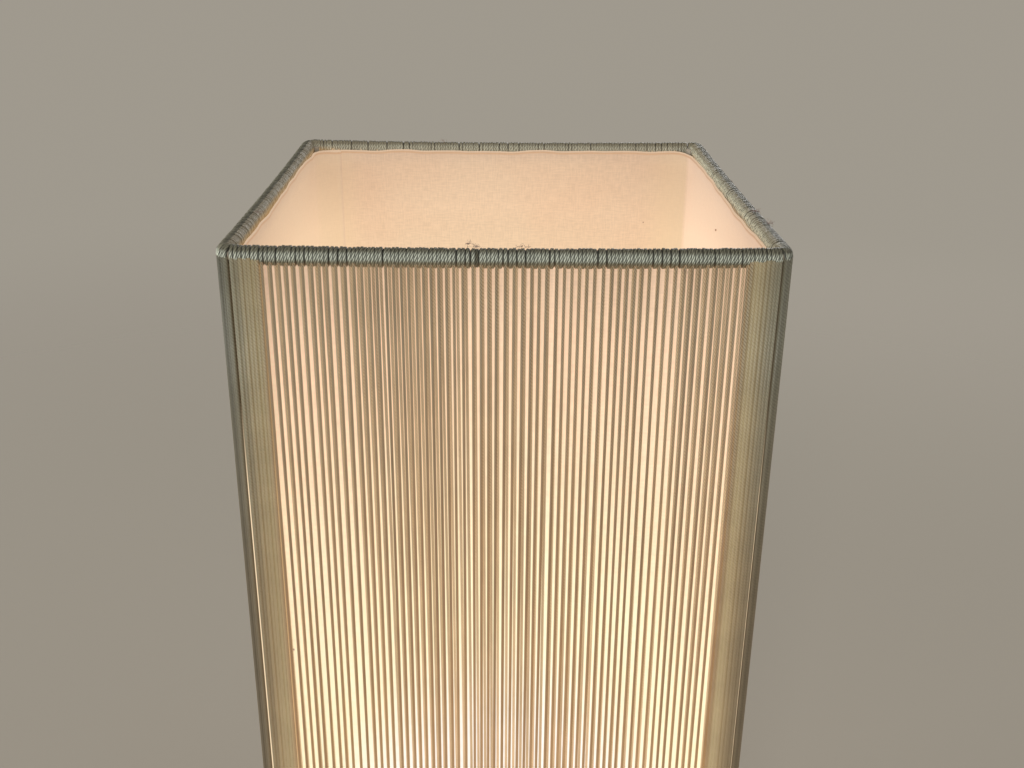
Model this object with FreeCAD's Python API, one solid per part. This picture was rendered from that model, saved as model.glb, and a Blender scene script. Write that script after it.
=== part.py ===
import FreeCAD
import Part
import math
import os

# Column table lamp: a square shade strung with cord stands on a low wooden plinth,
# with an upright lampholder and bulb inside it.
# Millimetres, +Z up, origin on the floor under the middle of the plinth, front towards -Y.

# Whole lamp
WIDTH = 200.0               # across the cords, side to side
HEIGHT = 500.0              # floor to the top of the upper ring

# Plinth
FELT_THICKNESS = 2.0
FELT_INSET = 4.0            # felt edge inside the plinth's edge
BASE_TOP = 20.0
EDGE_CHAMFER = 1.0
RECESS_RADIUS = 18.0        # pocket for the nut, under the plinth
RECESS_CEILING = 12.0
CHANNEL_WIDTH = 9.0         # groove for the flex, from the pocket to the rear
CHANNEL_CEILING = 13.6

# Cable gland in the rear edge
GLAND_Z = 10.0
GLAND_BORE_RADIUS = 3.6
GLAND_BARREL_RADIUS = 4.95
GLAND_FLANGE_RADIUS = 6.5
GLAND_FLANGE = 2.0
GLAND_LENGTH = 16.0
GLAND_CHAMFER = 0.8

# Wire frame of the shade
RING_WIRE = 2.0             # radius of the ring's wire
RING_BEND = 4.0             # bend of the wire's middle line at a corner
POST_RADIUS = 1.75
WELD_GAP = 0.05             # post to ring, where they are welded
PEG_DEPTH = 6.0             # how far a post stands in the plinth
PEG_CLEARANCE = 0.35
SHADE_GAP = 0.3             # lowest turn of cord above the plinth

# Cord
CORD = 1.42                 # thickness of the cord where it is wound on a ring
STRAND = 1.5                # width of a strand, pulled straight: three-sided, its back flat
STRAND_SINK = 0.05          # strand below the wound face that it leaves
STRAND_START = 1.2          # end of a strand inside the turns, above or below a ring's middle
OUTER_STRANDS = 66          # on the straight part of one side
INNER_STRANDS = 63          # each behind a gap of the outer row
FACETS = 8                  # sides of a wound ring's section
CORNER_STEP = 22.5          # each corner turns in four such steps, one strand to a step

# Liner
LINER_THICKNESS = 0.8
LINER_CORNER = 10.0
LINER_TOP_DROP = 3.4        # below the top of the ring
LINER_FOOT = 1.5            # above the plinth
SEAM_THICKNESS = 0.6
SEAM_END_X = -80.0          # edge of the glued overlap on the back wall
SEAM_END_Y = 78.0           # and on the left wall

# Column of the lampholder
TUBE_RADIUS = 5.0           # M10 x 1 tube
TUBE_BORE = 4.0
TUBE_LOW = 5.0
TUBE_HIGH = 54.5
NUT_ACROSS_FLATS = 17.0
NUT_THICKNESS = 4.0
WASHER_RADIUS = 15.0
WASHER_THICKNESS = 1.5
TUBE_CLEARANCE = 0.25       # plinth and washer round the tube
FIT = 0.05                  # threads and screws, modelled plain
HOLDER_LOW = 46.0           # foot of the lampholder on its sleeve
HOLDER_SPLIT = 62.0         # where the dome and the body meet
HOLDER_TOP = 96.0
HOLDER_RADIUS = 20.0
HOLDER_WALL = 2.0
HOLDER_MOUTH = 14.4         # radius of the opening round the socket shell
NECK_OF_HOLDER = 8.0        # radius of the dome's foot and of the sleeve below it
BUSH_SIDE = 5.0             # straight side of the dome's foot, where the locking screw is
COLLAR_WALL = 1.2
LID_FIT = 0.1               # dome, body and porcelain to each other
LEDGE_Z = 60.0              # ledge in the dome that carries the porcelain
LEDGE = 2.2
PORCELAIN_LOW = 58.0
PORCELAIN_TOP = 68.0
PORCELAIN_RIM = 1.0
TERMINAL_X = 8.0
SCREW_RADIUS = 1.75
SCREW_LENGTH = 6.0
GRUB_RADIUS = 1.45
SHELL_INNER = 13.35         # socket shell, plain bore outside the cap's crests
SHELL_WALL = 0.4
GRIP_RIBS = 20

# Bulb: E27 cap, 60 mm globe
BULB_LOW = 71.0             # end of the contact tip
TIP_THICKNESS = 1.8
CONTACT_GAP = 0.3           # spring blade to the bulb's tip
CAP_RADIUS = 13.05
CAP_WALL = 0.4
CAP_CEMENT = 0.35           # cement between the cap and the glass
CAP_LOW = 77.0
CAP_HIGH = 96.5
GLOBE_RADIUS = 30.0
GLOBE_Z = 148.0
NECK_RADIUS = 13.6
GLASS_WALL = 0.8
STEM_FOOT = 89.0
STEM_RADIUS = 3.0

# Worked out from the above
RING_COVER = RING_WIRE + CORD                    # radius of a ring with its turns of cord
RING_HALF = WIDTH / 2 - RING_COVER               # middle line of the ring's wire
CORNER_CENTRE = RING_HALF - RING_BEND
OUTER_CORNER = RING_BEND + RING_COVER
TOP_RING_Z = HEIGHT - RING_COVER
BOTTOM_RING_Z = BASE_TOP + SHADE_GAP + RING_COVER
POST_OFFSET = CORNER_CENTRE + (RING_BEND - RING_WIRE - POST_RADIUS - WELD_GAP) / math.sqrt(2)
STRAND_RADIUS = STRAND / math.sqrt(3)            # middle of a strand to its corners
STRAND_PITCH = 2 * CORNER_CENTRE / (OUTER_STRANDS - 1)
OUTER_ROW = WIDTH / 2 - STRAND_SINK - STRAND_RADIUS
INNER_ROW = WIDTH / 2 - 2 * RING_COVER + STRAND_SINK + STRAND_RADIUS / 2
LINER_HALF = WIDTH / 2 - 2 * RING_COVER          # glued to the inside of the wound rings

ORIGIN = FreeCAD.Vector(0, 0, 0)
UP = FreeCAD.Vector(0, 0, 1)


def vec(x, y, z=0.0):
    return FreeCAD.Vector(x, y, z)


def polar(centre_x, centre_y, radius, degrees, z=0.0):
    turn = math.radians(degrees)
    return vec(centre_x + radius * math.cos(turn), centre_y + radius * math.sin(turn), z)


def arc(centre_x, centre_y, radius, start, end, z=0.0):
    # A flat arc from one angle to another, in degrees.
    ends = [polar(centre_x, centre_y, radius, angle, z) for angle in (start, (start + end) / 2, end)]
    return Part.Arc(*ends).toShape()


def line(a, b):
    return Part.LineSegment(a, b).toShape()


def rounded_square(half, radius, z=0.0):
    # Closed outline with its four corners rounded, starting at the front left corner.
    c = half - radius
    edges = []
    for quarter in range(4):
        start = 180 + 90 * quarter
        x, y = polar(0, 0, c * math.sqrt(2), start + 45)[:2]
        next_x, next_y = polar(0, 0, c * math.sqrt(2), start + 135)[:2]
        edges.append(arc(x, y, radius, start, start + 90, z))
        edges.append(line(polar(x, y, radius, start + 90, z), polar(next_x, next_y, radius, start + 90, z)))
    return Part.Wire(edges)


def square_slab(half, radius, low, high):
    return Part.Face(rounded_square(half, radius, low)).extrude(vec(0, 0, high - low))


def cylinder(radius, low, high, x=0.0, y=0.0):
    return Part.makeCylinder(radius, high - low, vec(x, y, low), UP)


def polygon_face(points):
    return Part.Face(Part.makePolygon(points + points[:1]))


def turned(*outline):
    # Solid of revolution about Z from a closed outline of (radius, height) points.
    return polygon_face([vec(radius, 0, height) for radius, height in outline]).revolve(ORIGIN, UP, 360)


def bend(centre_r, centre_z, radius, start, end, steps):
    # Stations along a curve of a turned outline, from one angle to another, with cones between them.
    places = [polar(centre_r, centre_z, radius, start + (end - start) * step / steps)
              for step in range(steps + 1)]
    return [(place.x, place.y) for place in places]


def prism(x, y, radius, sides, turn, low, high):
    # Upright bar of equal sides, with a corner at the angle turn.
    points = [polar(x, y, radius, turn + 360 * side / sides, low) for side in range(sides)]
    return polygon_face(points).extrude(vec(0, 0, high - low))


def at_side(shape, quarter):
    # A piece made for the front, turned to the front, right, back or left side.
    copy = shape.copy()
    copy.rotate(ORIGIN, UP, 90 * quarter)
    return copy


# Plinth

def base_block():
    block = square_slab(WIDTH / 2, OUTER_CORNER, FELT_THICKNESS, BASE_TOP)
    rim = [edge for edge in block.Edges if edge.BoundBox.ZMin > BASE_TOP - 0.01]
    block = block.makeChamfer(EDGE_CHAMFER, rim)
    channel_start = RECESS_RADIUS - CHANNEL_WIDTH
    channel_end = WIDTH / 2 - GLAND_LENGTH + GLAND_FLANGE
    pockets = [
        cylinder(RECESS_RADIUS, 0, RECESS_CEILING),
        cylinder(TUBE_RADIUS + TUBE_CLEARANCE, 0, BASE_TOP + 1),
        Part.makeBox(CHANNEL_WIDTH, channel_end - channel_start, CHANNEL_CEILING,
                     vec(-CHANNEL_WIDTH / 2, channel_start, 0)),
        rear_facing(cylinder(GLAND_BARREL_RADIUS + FIT, -GLAND_LENGTH, 1)),
        rear_facing(cylinder(GLAND_FLANGE_RADIUS + FIT, -GLAND_FLANGE, 1)),
    ]
    for x, y in post_places():
        pockets.append(cylinder(POST_RADIUS + PEG_CLEARANCE, BASE_TOP - PEG_DEPTH, BASE_TOP + 1, x, y))
    for pocket in pockets:
        block = block.cut(pocket)
    return block


def base_felt_pad():
    half = WIDTH / 2 - FELT_INSET
    return square_slab(half, OUTER_CORNER - 2, 0, FELT_THICKNESS)


def rear_facing(shape):
    # A piece made along Z, with z = 0 at its outer end, laid into the rear edge of the plinth.
    shape.rotate(ORIGIN, vec(1, 0, 0), -90)
    shape.translate(vec(0, WIDTH / 2, GLAND_Z))
    return shape


def cable_gland():
    bore, mouth = GLAND_BORE_RADIUS, GLAND_BORE_RADIUS + GLAND_CHAMFER
    flange, rim = GLAND_FLANGE_RADIUS, 0.6
    return rear_facing(turned(
        (mouth, 0),
        (flange - rim, 0),
        (flange, -rim),
        (flange, -GLAND_FLANGE),
        (GLAND_BARREL_RADIUS, -GLAND_FLANGE),
        (GLAND_BARREL_RADIUS, -GLAND_LENGTH),
        (bore, -GLAND_LENGTH),
        (bore, -GLAND_CHAMFER),
    ))


# Frame of the shade

def post_places():
    return [(sx * POST_OFFSET, sy * POST_OFFSET) for sy in (-1, 1) for sx in (-1, 1)]


def stations(quarters):
    # Where the rings' middle line changes direction, as (corner centre x, y, angle) in order.
    # A quarter is one straight side with the step before it and the two steps after it.
    places = []
    for quarter in quarters:
        for corner, steps in ((180, (-1.5, -0.5)), (270, (0.5, 1.5))):
            centre = polar(0, 0, CORNER_CENTRE * math.sqrt(2), corner + 45 + 90 * quarter)
            for step in steps:
                places.append((centre.x, centre.y, 270 + 90 * quarter + CORNER_STEP * step))
    return places


def flat_bar(places, z, reach, closed):
    # Bar of an even section, its flats at the given reach from the middle line, mitred at each station.
    stretch = math.cos(math.radians(CORNER_STEP / 2))
    corner = reach / math.cos(math.pi / FACETS)
    rings = []
    for x, y, angle in places:
        ring = []
        for index in range(FACETS):
            turn = 2 * math.pi * (index + 0.5) / FACETS
            out = (RING_BEND + corner * math.cos(turn)) / stretch
            ring.append(polar(x, y, out, angle, z + corner * math.sin(turn)))
        rings.append(ring)
    pairs = list(zip(rings, rings[1:]))
    faces = []
    if closed:
        pairs.append((rings[-1], rings[0]))
    else:
        faces = [polygon_face(rings[0]), polygon_face(rings[-1])]
    for a, b in pairs:
        for index in range(FACETS):
            after = (index + 1) % FACETS
            faces.append(polygon_face([a[index], b[index], b[after], a[after]]))
    solid = Part.Solid(Part.Shell(faces))
    solid.fixTolerance(1e-5)
    if solid.Volume < 0:
        solid.reverse()
    return solid


def square_ring(z):
    # The wire ring. It never shows inside its turns of cord, so its section has flats.
    return flat_bar(stations(range(4)), z, RING_WIRE, closed=True)


def corner_post(x, y):
    # Upright wire inside the rings' corners. Its lower end is a plain peg.
    return cylinder(POST_RADIUS, BASE_TOP - PEG_DEPTH, TOP_RING_Z + POST_RADIUS / 2, x, y)


# Cord walls

def front_stations():
    return stations([0]) + stations([1])[:1]


def ring_turns(z):
    # The closely wound turns on the front quarter of a ring, as one hollow sleeve.
    sleeve = flat_bar(front_stations(), z, RING_COVER, closed=False)
    return sleeve.cut(flat_bar(front_stations(), z, RING_WIRE + FIT, closed=False))


def strand(x, y, turn):
    # One corner faces out. It runs from inside the lower turns to inside the upper ones.
    return prism(x, y, STRAND_RADIUS, 3, turn, BOTTOM_RING_Z + STRAND_START, TOP_RING_Z - STRAND_START)


def spread(half_run, count):
    return [-half_run + 2 * half_run * index / (count - 1) for index in range(count)]


def strand_rows():
    # Where the strands of the front side stand and where their corner points:
    # the outer row with its corner strands, then the inner row.
    outer = [(x, -OUTER_ROW, 270) for x in spread(CORNER_CENTRE, OUTER_STRANDS)]
    radius = OUTER_ROW - CORNER_CENTRE
    for side, steps in ((-1, 1), (1, 1), (1, 2)):
        turn = 270 + side * steps * CORNER_STEP
        place = polar(side * CORNER_CENTRE, -CORNER_CENTRE, radius, turn)
        outer.append((place.x, place.y, turn))
    inner_half = STRAND_PITCH * (INNER_STRANDS - 1) / 2
    inner = [(x, -INNER_ROW, 270) for x in spread(inner_half, INNER_STRANDS)]
    return outer, inner


def front_winding():
    outer, inner = strand_rows()
    strands = [strand(*place) for place in outer + inner]
    wall = ring_turns(TOP_RING_Z).multiFuse([ring_turns(BOTTOM_RING_Z)] + strands)
    for x, y in post_places():
        if y < 0:
            wall = wall.cut(prism(x, y, POST_RADIUS + 2 * PEG_CLEARANCE, FACETS, 0, 0, HEIGHT + 1))
    return max(wall.Solids, key=lambda solid: solid.Volume)


def least_strand_gap():
    # Smallest clear gap between neighbouring strands of the four sides.
    outer, inner = strand_rows()
    gaps = []
    for row in (outer, inner):
        places = []
        for quarter in range(4):
            for x, y, _turn in row:
                reach, angle = math.hypot(x, y), math.degrees(math.atan2(y, x))
                places.append(polar(0, 0, reach, angle + 90 * quarter))
        nearest = [min(a.distanceToPoint(b) for b in places if b is not a) for a in places]
        gaps.append(min(nearest) - STRAND)
    return min(gaps)


def liner():
    low, high = BASE_TOP + LINER_FOOT, HEIGHT - LINER_TOP_DROP
    inner_half, inner_corner = LINER_HALF - LINER_THICKNESS, LINER_CORNER - LINER_THICKNESS
    tube = square_slab(LINER_HALF, LINER_CORNER, low, high)
    tube = tube.cut(square_slab(inner_half, inner_corner, low - 1, high + 1))
    overlap = square_slab(inner_half, inner_corner, low, high)
    overlap = overlap.cut(square_slab(inner_half - SEAM_THICKNESS, inner_corner - SEAM_THICKNESS,
                                      low - 1, high + 1))
    corner = Part.makeBox(WIDTH / 2 + SEAM_END_X, WIDTH / 2 - SEAM_END_Y, high - low,
                          vec(-WIDTH / 2, SEAM_END_Y, low))
    return tube.fuse(overlap.common(corner)).removeSplitter()


# Lampholder and what carries it

def threaded_tube():
    return cylinder(TUBE_RADIUS, TUBE_LOW, TUBE_HIGH).cut(cylinder(TUBE_BORE, 0, HEIGHT))


def lower_washer():
    ring = cylinder(WASHER_RADIUS, RECESS_CEILING - WASHER_THICKNESS, RECESS_CEILING)
    return ring.cut(cylinder(TUBE_RADIUS + TUBE_CLEARANCE, 0, BASE_TOP))


def lower_nut():
    high = RECESS_CEILING - WASHER_THICKNESS
    low = high - NUT_THICKNESS
    flat, point = NUT_ACROSS_FLATS / 2, NUT_ACROSS_FLATS / math.sqrt(3)
    hexagon = prism(0, 0, point, 6, 0, low, high)
    crown = turned((0, low), (flat, low), (point, low + 1), (point, high), (0, high))
    return hexagon.common(crown).cut(cylinder(TUBE_RADIUS + FIT, 0, BASE_TOP))


def tube_sleeve():
    # Spun sleeve with a flared foot, clamped between the plinth and the lampholder.
    foot, bore, rim = 17.0, 5.6, 1.5
    flare = foot - NECK_OF_HOLDER
    return turned(
        (bore, BASE_TOP), (foot, BASE_TOP),
        *bend(foot, BASE_TOP + rim + flare, flare, 270, 180, 3),
        (NECK_OF_HOLDER, HOLDER_LOW), (bore, HOLDER_LOW),
    )


def lampholder_dome():
    # Moulded cup with a bush for the tube, a ledge for the porcelain and a collar for the body.
    swell = HOLDER_SPLIT - HOLDER_LOW - BUSH_SIDE
    collar = HOLDER_RADIUS - HOLDER_WALL - LID_FIT
    seat = collar - COLLAR_WALL
    floor = HOLDER_LOW + 9
    cup = turned(
        (TUBE_RADIUS + FIT, HOLDER_LOW), (NECK_OF_HOLDER, HOLDER_LOW),
        (NECK_OF_HOLDER, HOLDER_LOW + BUSH_SIDE),
        *bend(HOLDER_RADIUS - swell, HOLDER_SPLIT, swell, -90, 0, 3),
        (collar, HOLDER_SPLIT), (collar, PORCELAIN_TOP), (seat, PORCELAIN_TOP),
        (seat, LEDGE_Z), (seat - LEDGE, LEDGE_Z), (seat - LEDGE, floor + 2),
        (seat - LEDGE - 2, floor), (TUBE_RADIUS + FIT, floor),
    )
    return cup.cut(sideways(cylinder(GRUB_RADIUS + FIT, 0, WIDTH)))


def sideways(shape):
    # A piece made along Z, laid along +X at the height of the locking screw.
    shape.rotate(ORIGIN, vec(0, 1, 0), 90)
    shape.translate(vec(0, 0, HOLDER_LOW + BUSH_SIDE / 2))
    return shape


def grub_screw():
    low, high, slot_width, slot_depth = TUBE_RADIUS + FIT, NECK_OF_HOLDER + 0.4, 0.6, 0.8
    slot = Part.makeBox(2 * GRUB_RADIUS + 1, slot_width, slot_depth,
                        vec(-GRUB_RADIUS - 0.5, -slot_width / 2, high - slot_depth))
    return sideways(cylinder(GRUB_RADIUS, low, high).cut(slot))


def lampholder_body():
    # Barrel with an inner shoulder that holds the porcelain down, and ribs to grip.
    shoulder = PORCELAIN_TOP + PORCELAIN_RIM
    rim, rib = 2.0, 0.8
    body = turned(
        (HOLDER_RADIUS, HOLDER_SPLIT), (HOLDER_RADIUS, HOLDER_TOP - rim),
        (HOLDER_RADIUS - rim, HOLDER_TOP), (HOLDER_MOUTH + 1, HOLDER_TOP),
        (HOLDER_MOUTH, HOLDER_TOP - 1), (HOLDER_MOUTH, shoulder),
        (HOLDER_RADIUS - HOLDER_WALL, shoulder), (HOLDER_RADIUS - HOLDER_WALL, HOLDER_SPLIT),
    )
    ribs = []
    for index in range(GRIP_RIBS):
        angle = 360 * index / GRIP_RIBS
        place = polar(0, 0, HOLDER_RADIUS - rib / 4, angle)
        ribs.append(prism(place.x, place.y, rib, 4, angle, HOLDER_SPLIT + 3, HOLDER_SPLIT + 21))
    return body.multiFuse(ribs)


def lampholder_insert():
    # Porcelain block on the dome's ledge, with a raised rim that locates the socket shell.
    low, rim = PORCELAIN_LOW, PORCELAIN_TOP + PORCELAIN_RIM
    seat = HOLDER_RADIUS - HOLDER_WALL - COLLAR_WALL - 2 * LID_FIT
    recess = SHELL_INNER + SHELL_WALL + LID_FIT
    block = turned(
        (0, low), (seat - LEDGE - 0.5, low), (seat - LEDGE - 0.5, LEDGE_Z), (seat, LEDGE_Z),
        (seat, rim), (recess, rim), (recess, PORCELAIN_TOP), (0, PORCELAIN_TOP),
    )
    for side in (-1, 1):
        block = block.cut(cylinder(SCREW_RADIUS + FIT, low, low + SCREW_LENGTH + 1, side * TERMINAL_X))
    return block


def terminal_screws():
    head_radius, head, slot_width, slot_depth = 2.8, 2.0, 0.8, 1.0
    low = PORCELAIN_LOW - head
    screws = []
    for x in (-TERMINAL_X, TERMINAL_X):
        slot = Part.makeBox(2 * head_radius + 1, slot_width, slot_depth,
                            vec(x - head_radius - 0.5, -slot_width / 2, low))
        shank = cylinder(SCREW_RADIUS, PORCELAIN_LOW, PORCELAIN_LOW + SCREW_LENGTH, x)
        screws.append(cylinder(head_radius, low, PORCELAIN_LOW, x).cut(slot).fuse(shank))
    return Part.makeCompound(screws)


def screw_shell():
    # Plain drawn shell: flat bottom with a hole for the spring contact, rim turned out.
    hole, rim = 11.0, 0.35
    low, high = PORCELAIN_TOP, HOLDER_TOP - 3.7
    outer = SHELL_INNER + SHELL_WALL
    return turned(
        (hole, low), (outer, low), (outer, high - 2 * rim), (outer + rim, high - rim),
        (outer + rim, high), (SHELL_INNER, high), (SHELL_INNER, low + SHELL_WALL),
        (hole, low + SHELL_WALL),
    )


def centre_contact():
    # Sprung blade: a flat tail on the porcelain and an arched tongue under the bulb's tip.
    thickness, width, tail, reach, tip_lift = 0.5, 5.0, -9.0, 5.0, 1.0
    y, seat, crest = -width / 2, PORCELAIN_TOP, BULB_LOW - CONTACT_GAP
    upper = [vec(-reach, y, seat + thickness), vec(0, y, crest), vec(reach, y, seat + tip_lift)]
    lower = [vec(reach - 0.3, y, seat + tip_lift - thickness), vec(0, y, crest - thickness),
             vec(-reach + 0.2, y, seat)]
    tail_top, tail_foot = vec(tail, y, seat + thickness), vec(tail, y, seat)
    edges = [
        line(tail_foot, tail_top),
        line(tail_top, upper[0]),
        Part.Arc(*upper).toShape(),
        line(upper[2], lower[0]),
        Part.Arc(*lower).toShape(),
        line(lower[2], tail_foot),
    ]
    return Part.Face(Part.Wire(edges)).extrude(vec(0, width, 0))


# Bulb

def bulb_contact_tip():
    low, high, radius, crown = BULB_LOW, BULB_LOW + TIP_THICKNESS, 4.8, 1.4
    return turned((0, low), (radius / 2, low), (radius, low + crown), (radius, high), (0, high))


def bulb_insulator():
    low, high, foot, waist = BULB_LOW + TIP_THICKNESS, CAP_LOW, 6.5, 10.0
    return turned((0, low), (foot, low), (waist, (low + high) / 2), (CAP_RADIUS - 1, high), (0, high))


def bulb_cap():
    floor, inside, hole = CAP_LOW + CAP_WALL, CAP_RADIUS - CAP_WALL, 6.0
    return turned(
        (hole, CAP_LOW), (CAP_RADIUS - 1, CAP_LOW), (CAP_RADIUS, CAP_LOW + 1), (CAP_RADIUS, CAP_HIGH),
        (inside, CAP_HIGH), (inside, floor), (hole, floor),
    )


def bulb_outline(inset, steps, easing_steps):
    # Half outline of the globe, cone and neck, from the crown down to the foot inside the cap.
    # The cone leaves the globe at its own tangent and turns into the neck on an easy curve.
    lean = 35
    slope = math.radians(lean)
    globe, neck, easing = GLOBE_RADIUS - inset, NECK_RADIUS - inset, 10.5 + inset
    tail = CAP_RADIUS - CAP_WALL - CAP_CEMENT - inset
    side = polar(0, GLOBE_Z, globe, -lean)
    cone_foot = neck + easing * (1 - math.cos(slope))
    cone_drop = (side.x - cone_foot) / math.tan(slope)
    neck_top = side.y - cone_drop - easing * math.sin(slope)
    shoulder = CAP_HIGH + 1
    return [
        *bend(0, GLOBE_Z, globe, 90, -lean, steps),
        *bend(neck + easing, neck_top, easing, 180 - lean, 180, easing_steps),
        (neck, shoulder + 1.5),
        (tail, shoulder),
        (tail, STEM_FOOT - 1),
    ]


def bulb_glass():
    # Thin blown envelope, open at the foot of the neck.
    return turned(*bulb_outline(0.0, 8, 2), *reversed(bulb_outline(GLASS_WALL, 5, 1)))


def bulb_stem():
    # Flared glass mount that closes the neck, with a straight collar where the wires are pinched.
    flange = CAP_RADIUS - CAP_WALL - CAP_CEMENT - GLASS_WALL
    return turned(
        (0, STEM_FOOT), (flange, STEM_FOOT), (flange, STEM_FOOT + 1), (STEM_RADIUS + 2, STEM_FOOT + 6),
        (STEM_RADIUS, STEM_FOOT + 18), (STEM_RADIUS, STEM_FOOT + 34), (0, STEM_FOOT + 36),
    )


def bulb_filaments():
    # Four slim rods that lean in from four pinched wires to a crown.
    low, high = STEM_FOOT + 26, STEM_FOOT + 62
    foot_reach, head_reach, rod, wire = 7.5, 4.0, 0.9, 0.6
    pieces = []
    for index in range(4):
        angle = 90 * index + 45
        foot, head = polar(0, 0, foot_reach, angle, low), polar(0, 0, head_reach, angle, high)
        section = [polar(foot.x, foot.y, rod, angle + 60 * side, low) for side in range(6)]
        pieces.append(polygon_face(section).extrude(head - foot))
        arm = Part.makeBox(foot_reach, wire, wire, vec(0, -wire / 2, low))
        arm.rotate(ORIGIN, UP, angle)
        pieces.append(arm)
    crown = prism(0, 0, head_reach + rod, 8, 0, high - wire, high)
    crown = crown.cut(prism(0, 0, head_reach - rod, 8, 0, 0, HEIGHT))
    return pieces[0].multiFuse(pieces[1:] + [crown]).cut(cylinder(STEM_RADIUS, 0, STEM_FOOT + 34))


def nodes():
    shapes = {
        "base_block": base_block(),
        "base_felt_pad": base_felt_pad(),
        "cable_gland": cable_gland(),
        "threaded_tube": threaded_tube(),
        "lower_washer": lower_washer(),
        "lower_nut": lower_nut(),
        "tube_sleeve": tube_sleeve(),
        "lampholder_dome": lampholder_dome(),
        "lampholder_body": lampholder_body(),
        "lampholder_insert": lampholder_insert(),
        "terminal_screws": terminal_screws(),
        "grub_screw": grub_screw(),
        "screw_shell": screw_shell(),
        "centre_contact": centre_contact(),
        "bulb_contact_tip": bulb_contact_tip(),
        "bulb_insulator": bulb_insulator(),
        "bulb_cap": bulb_cap(),
        "bulb_glass": bulb_glass(),
        "bulb_stem": bulb_stem(),
        "bulb_filaments": bulb_filaments(),
        "bottom_ring": square_ring(BOTTOM_RING_Z),
        "top_ring": square_ring(TOP_RING_Z),
        "liner": liner(),
    }
    for name, place in zip(("front_left", "front_right", "back_left", "back_right"), post_places()):
        shapes["corner_post_" + name] = corner_post(*place)
    wall = front_winding()
    for quarter, name in enumerate(("front", "right", "back", "left")):
        shapes["winding_" + name] = at_side(wall, quarter)
    return shapes


os.makedirs("parts", exist_ok=True)
for node, shape in nodes().items():
    shape.exportStep("parts/%s.step" % node)
    report = (node, len(shape.Solids), shape.isValid(), shape.Volume)
    print("%-26s solids %d  valid %s  volume %.1f" % report)
print("least gap between strands %.2f mm" % least_strand_gap())
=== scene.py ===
import math
import random

import bmesh
import bpy
from mathutils import Matrix, Vector


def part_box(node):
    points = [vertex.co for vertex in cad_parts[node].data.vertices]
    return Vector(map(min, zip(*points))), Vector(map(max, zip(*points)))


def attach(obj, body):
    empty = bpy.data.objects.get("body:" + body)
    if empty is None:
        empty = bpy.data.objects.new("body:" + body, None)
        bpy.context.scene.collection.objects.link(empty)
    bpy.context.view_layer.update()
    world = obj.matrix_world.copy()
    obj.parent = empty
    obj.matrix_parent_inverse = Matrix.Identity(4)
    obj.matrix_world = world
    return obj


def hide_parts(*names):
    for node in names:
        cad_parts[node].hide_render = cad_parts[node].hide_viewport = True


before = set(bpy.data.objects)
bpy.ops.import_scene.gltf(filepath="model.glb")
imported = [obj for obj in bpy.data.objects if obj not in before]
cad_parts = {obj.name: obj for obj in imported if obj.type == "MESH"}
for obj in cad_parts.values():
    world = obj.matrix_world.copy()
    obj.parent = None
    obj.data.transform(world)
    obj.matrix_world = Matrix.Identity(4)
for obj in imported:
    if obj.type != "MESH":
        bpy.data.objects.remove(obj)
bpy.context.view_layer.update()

# Column table lamp, in metres, floor at z = 0, front towards -Y.
# The wire frame, its cords and the liner lift off the plinth; the bulb screws out of its holder.


# Node trees. A Value is an output of a node; sums, products and comparisons of Values add Math nodes.

class Value:
    def __init__(self, nodes, node, key=0):
        self.nodes, self.node, self.key = nodes, node, key

    def __getitem__(self, key):         # another output of the same node
        return Value(self.nodes, self.node, key)

    def __iter__(self):
        return (self[key] for key in range(len(self.node.outputs)))

    def socket(self):
        return self.node.outputs[self.key]

    def do(self, operation, *others):
        return self.nodes.calc(operation, self, *others)

    def __abs__(self):
        return self.do("ABSOLUTE")


for short, operation in (("add", "ADD"), ("sub", "SUBTRACT"), ("mul", "MULTIPLY"), ("truediv", "DIVIDE"),
                         ("mod", "MODULO"), ("lt", "LESS_THAN"), ("gt", "GREATER_THAN")):
    setattr(Value, f"__{short}__", lambda self, other, kind=operation: self.do(kind, other))
    setattr(Value, f"__r{short}__", lambda self, other, kind=operation: self.nodes.calc(kind, other, self))


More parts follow.
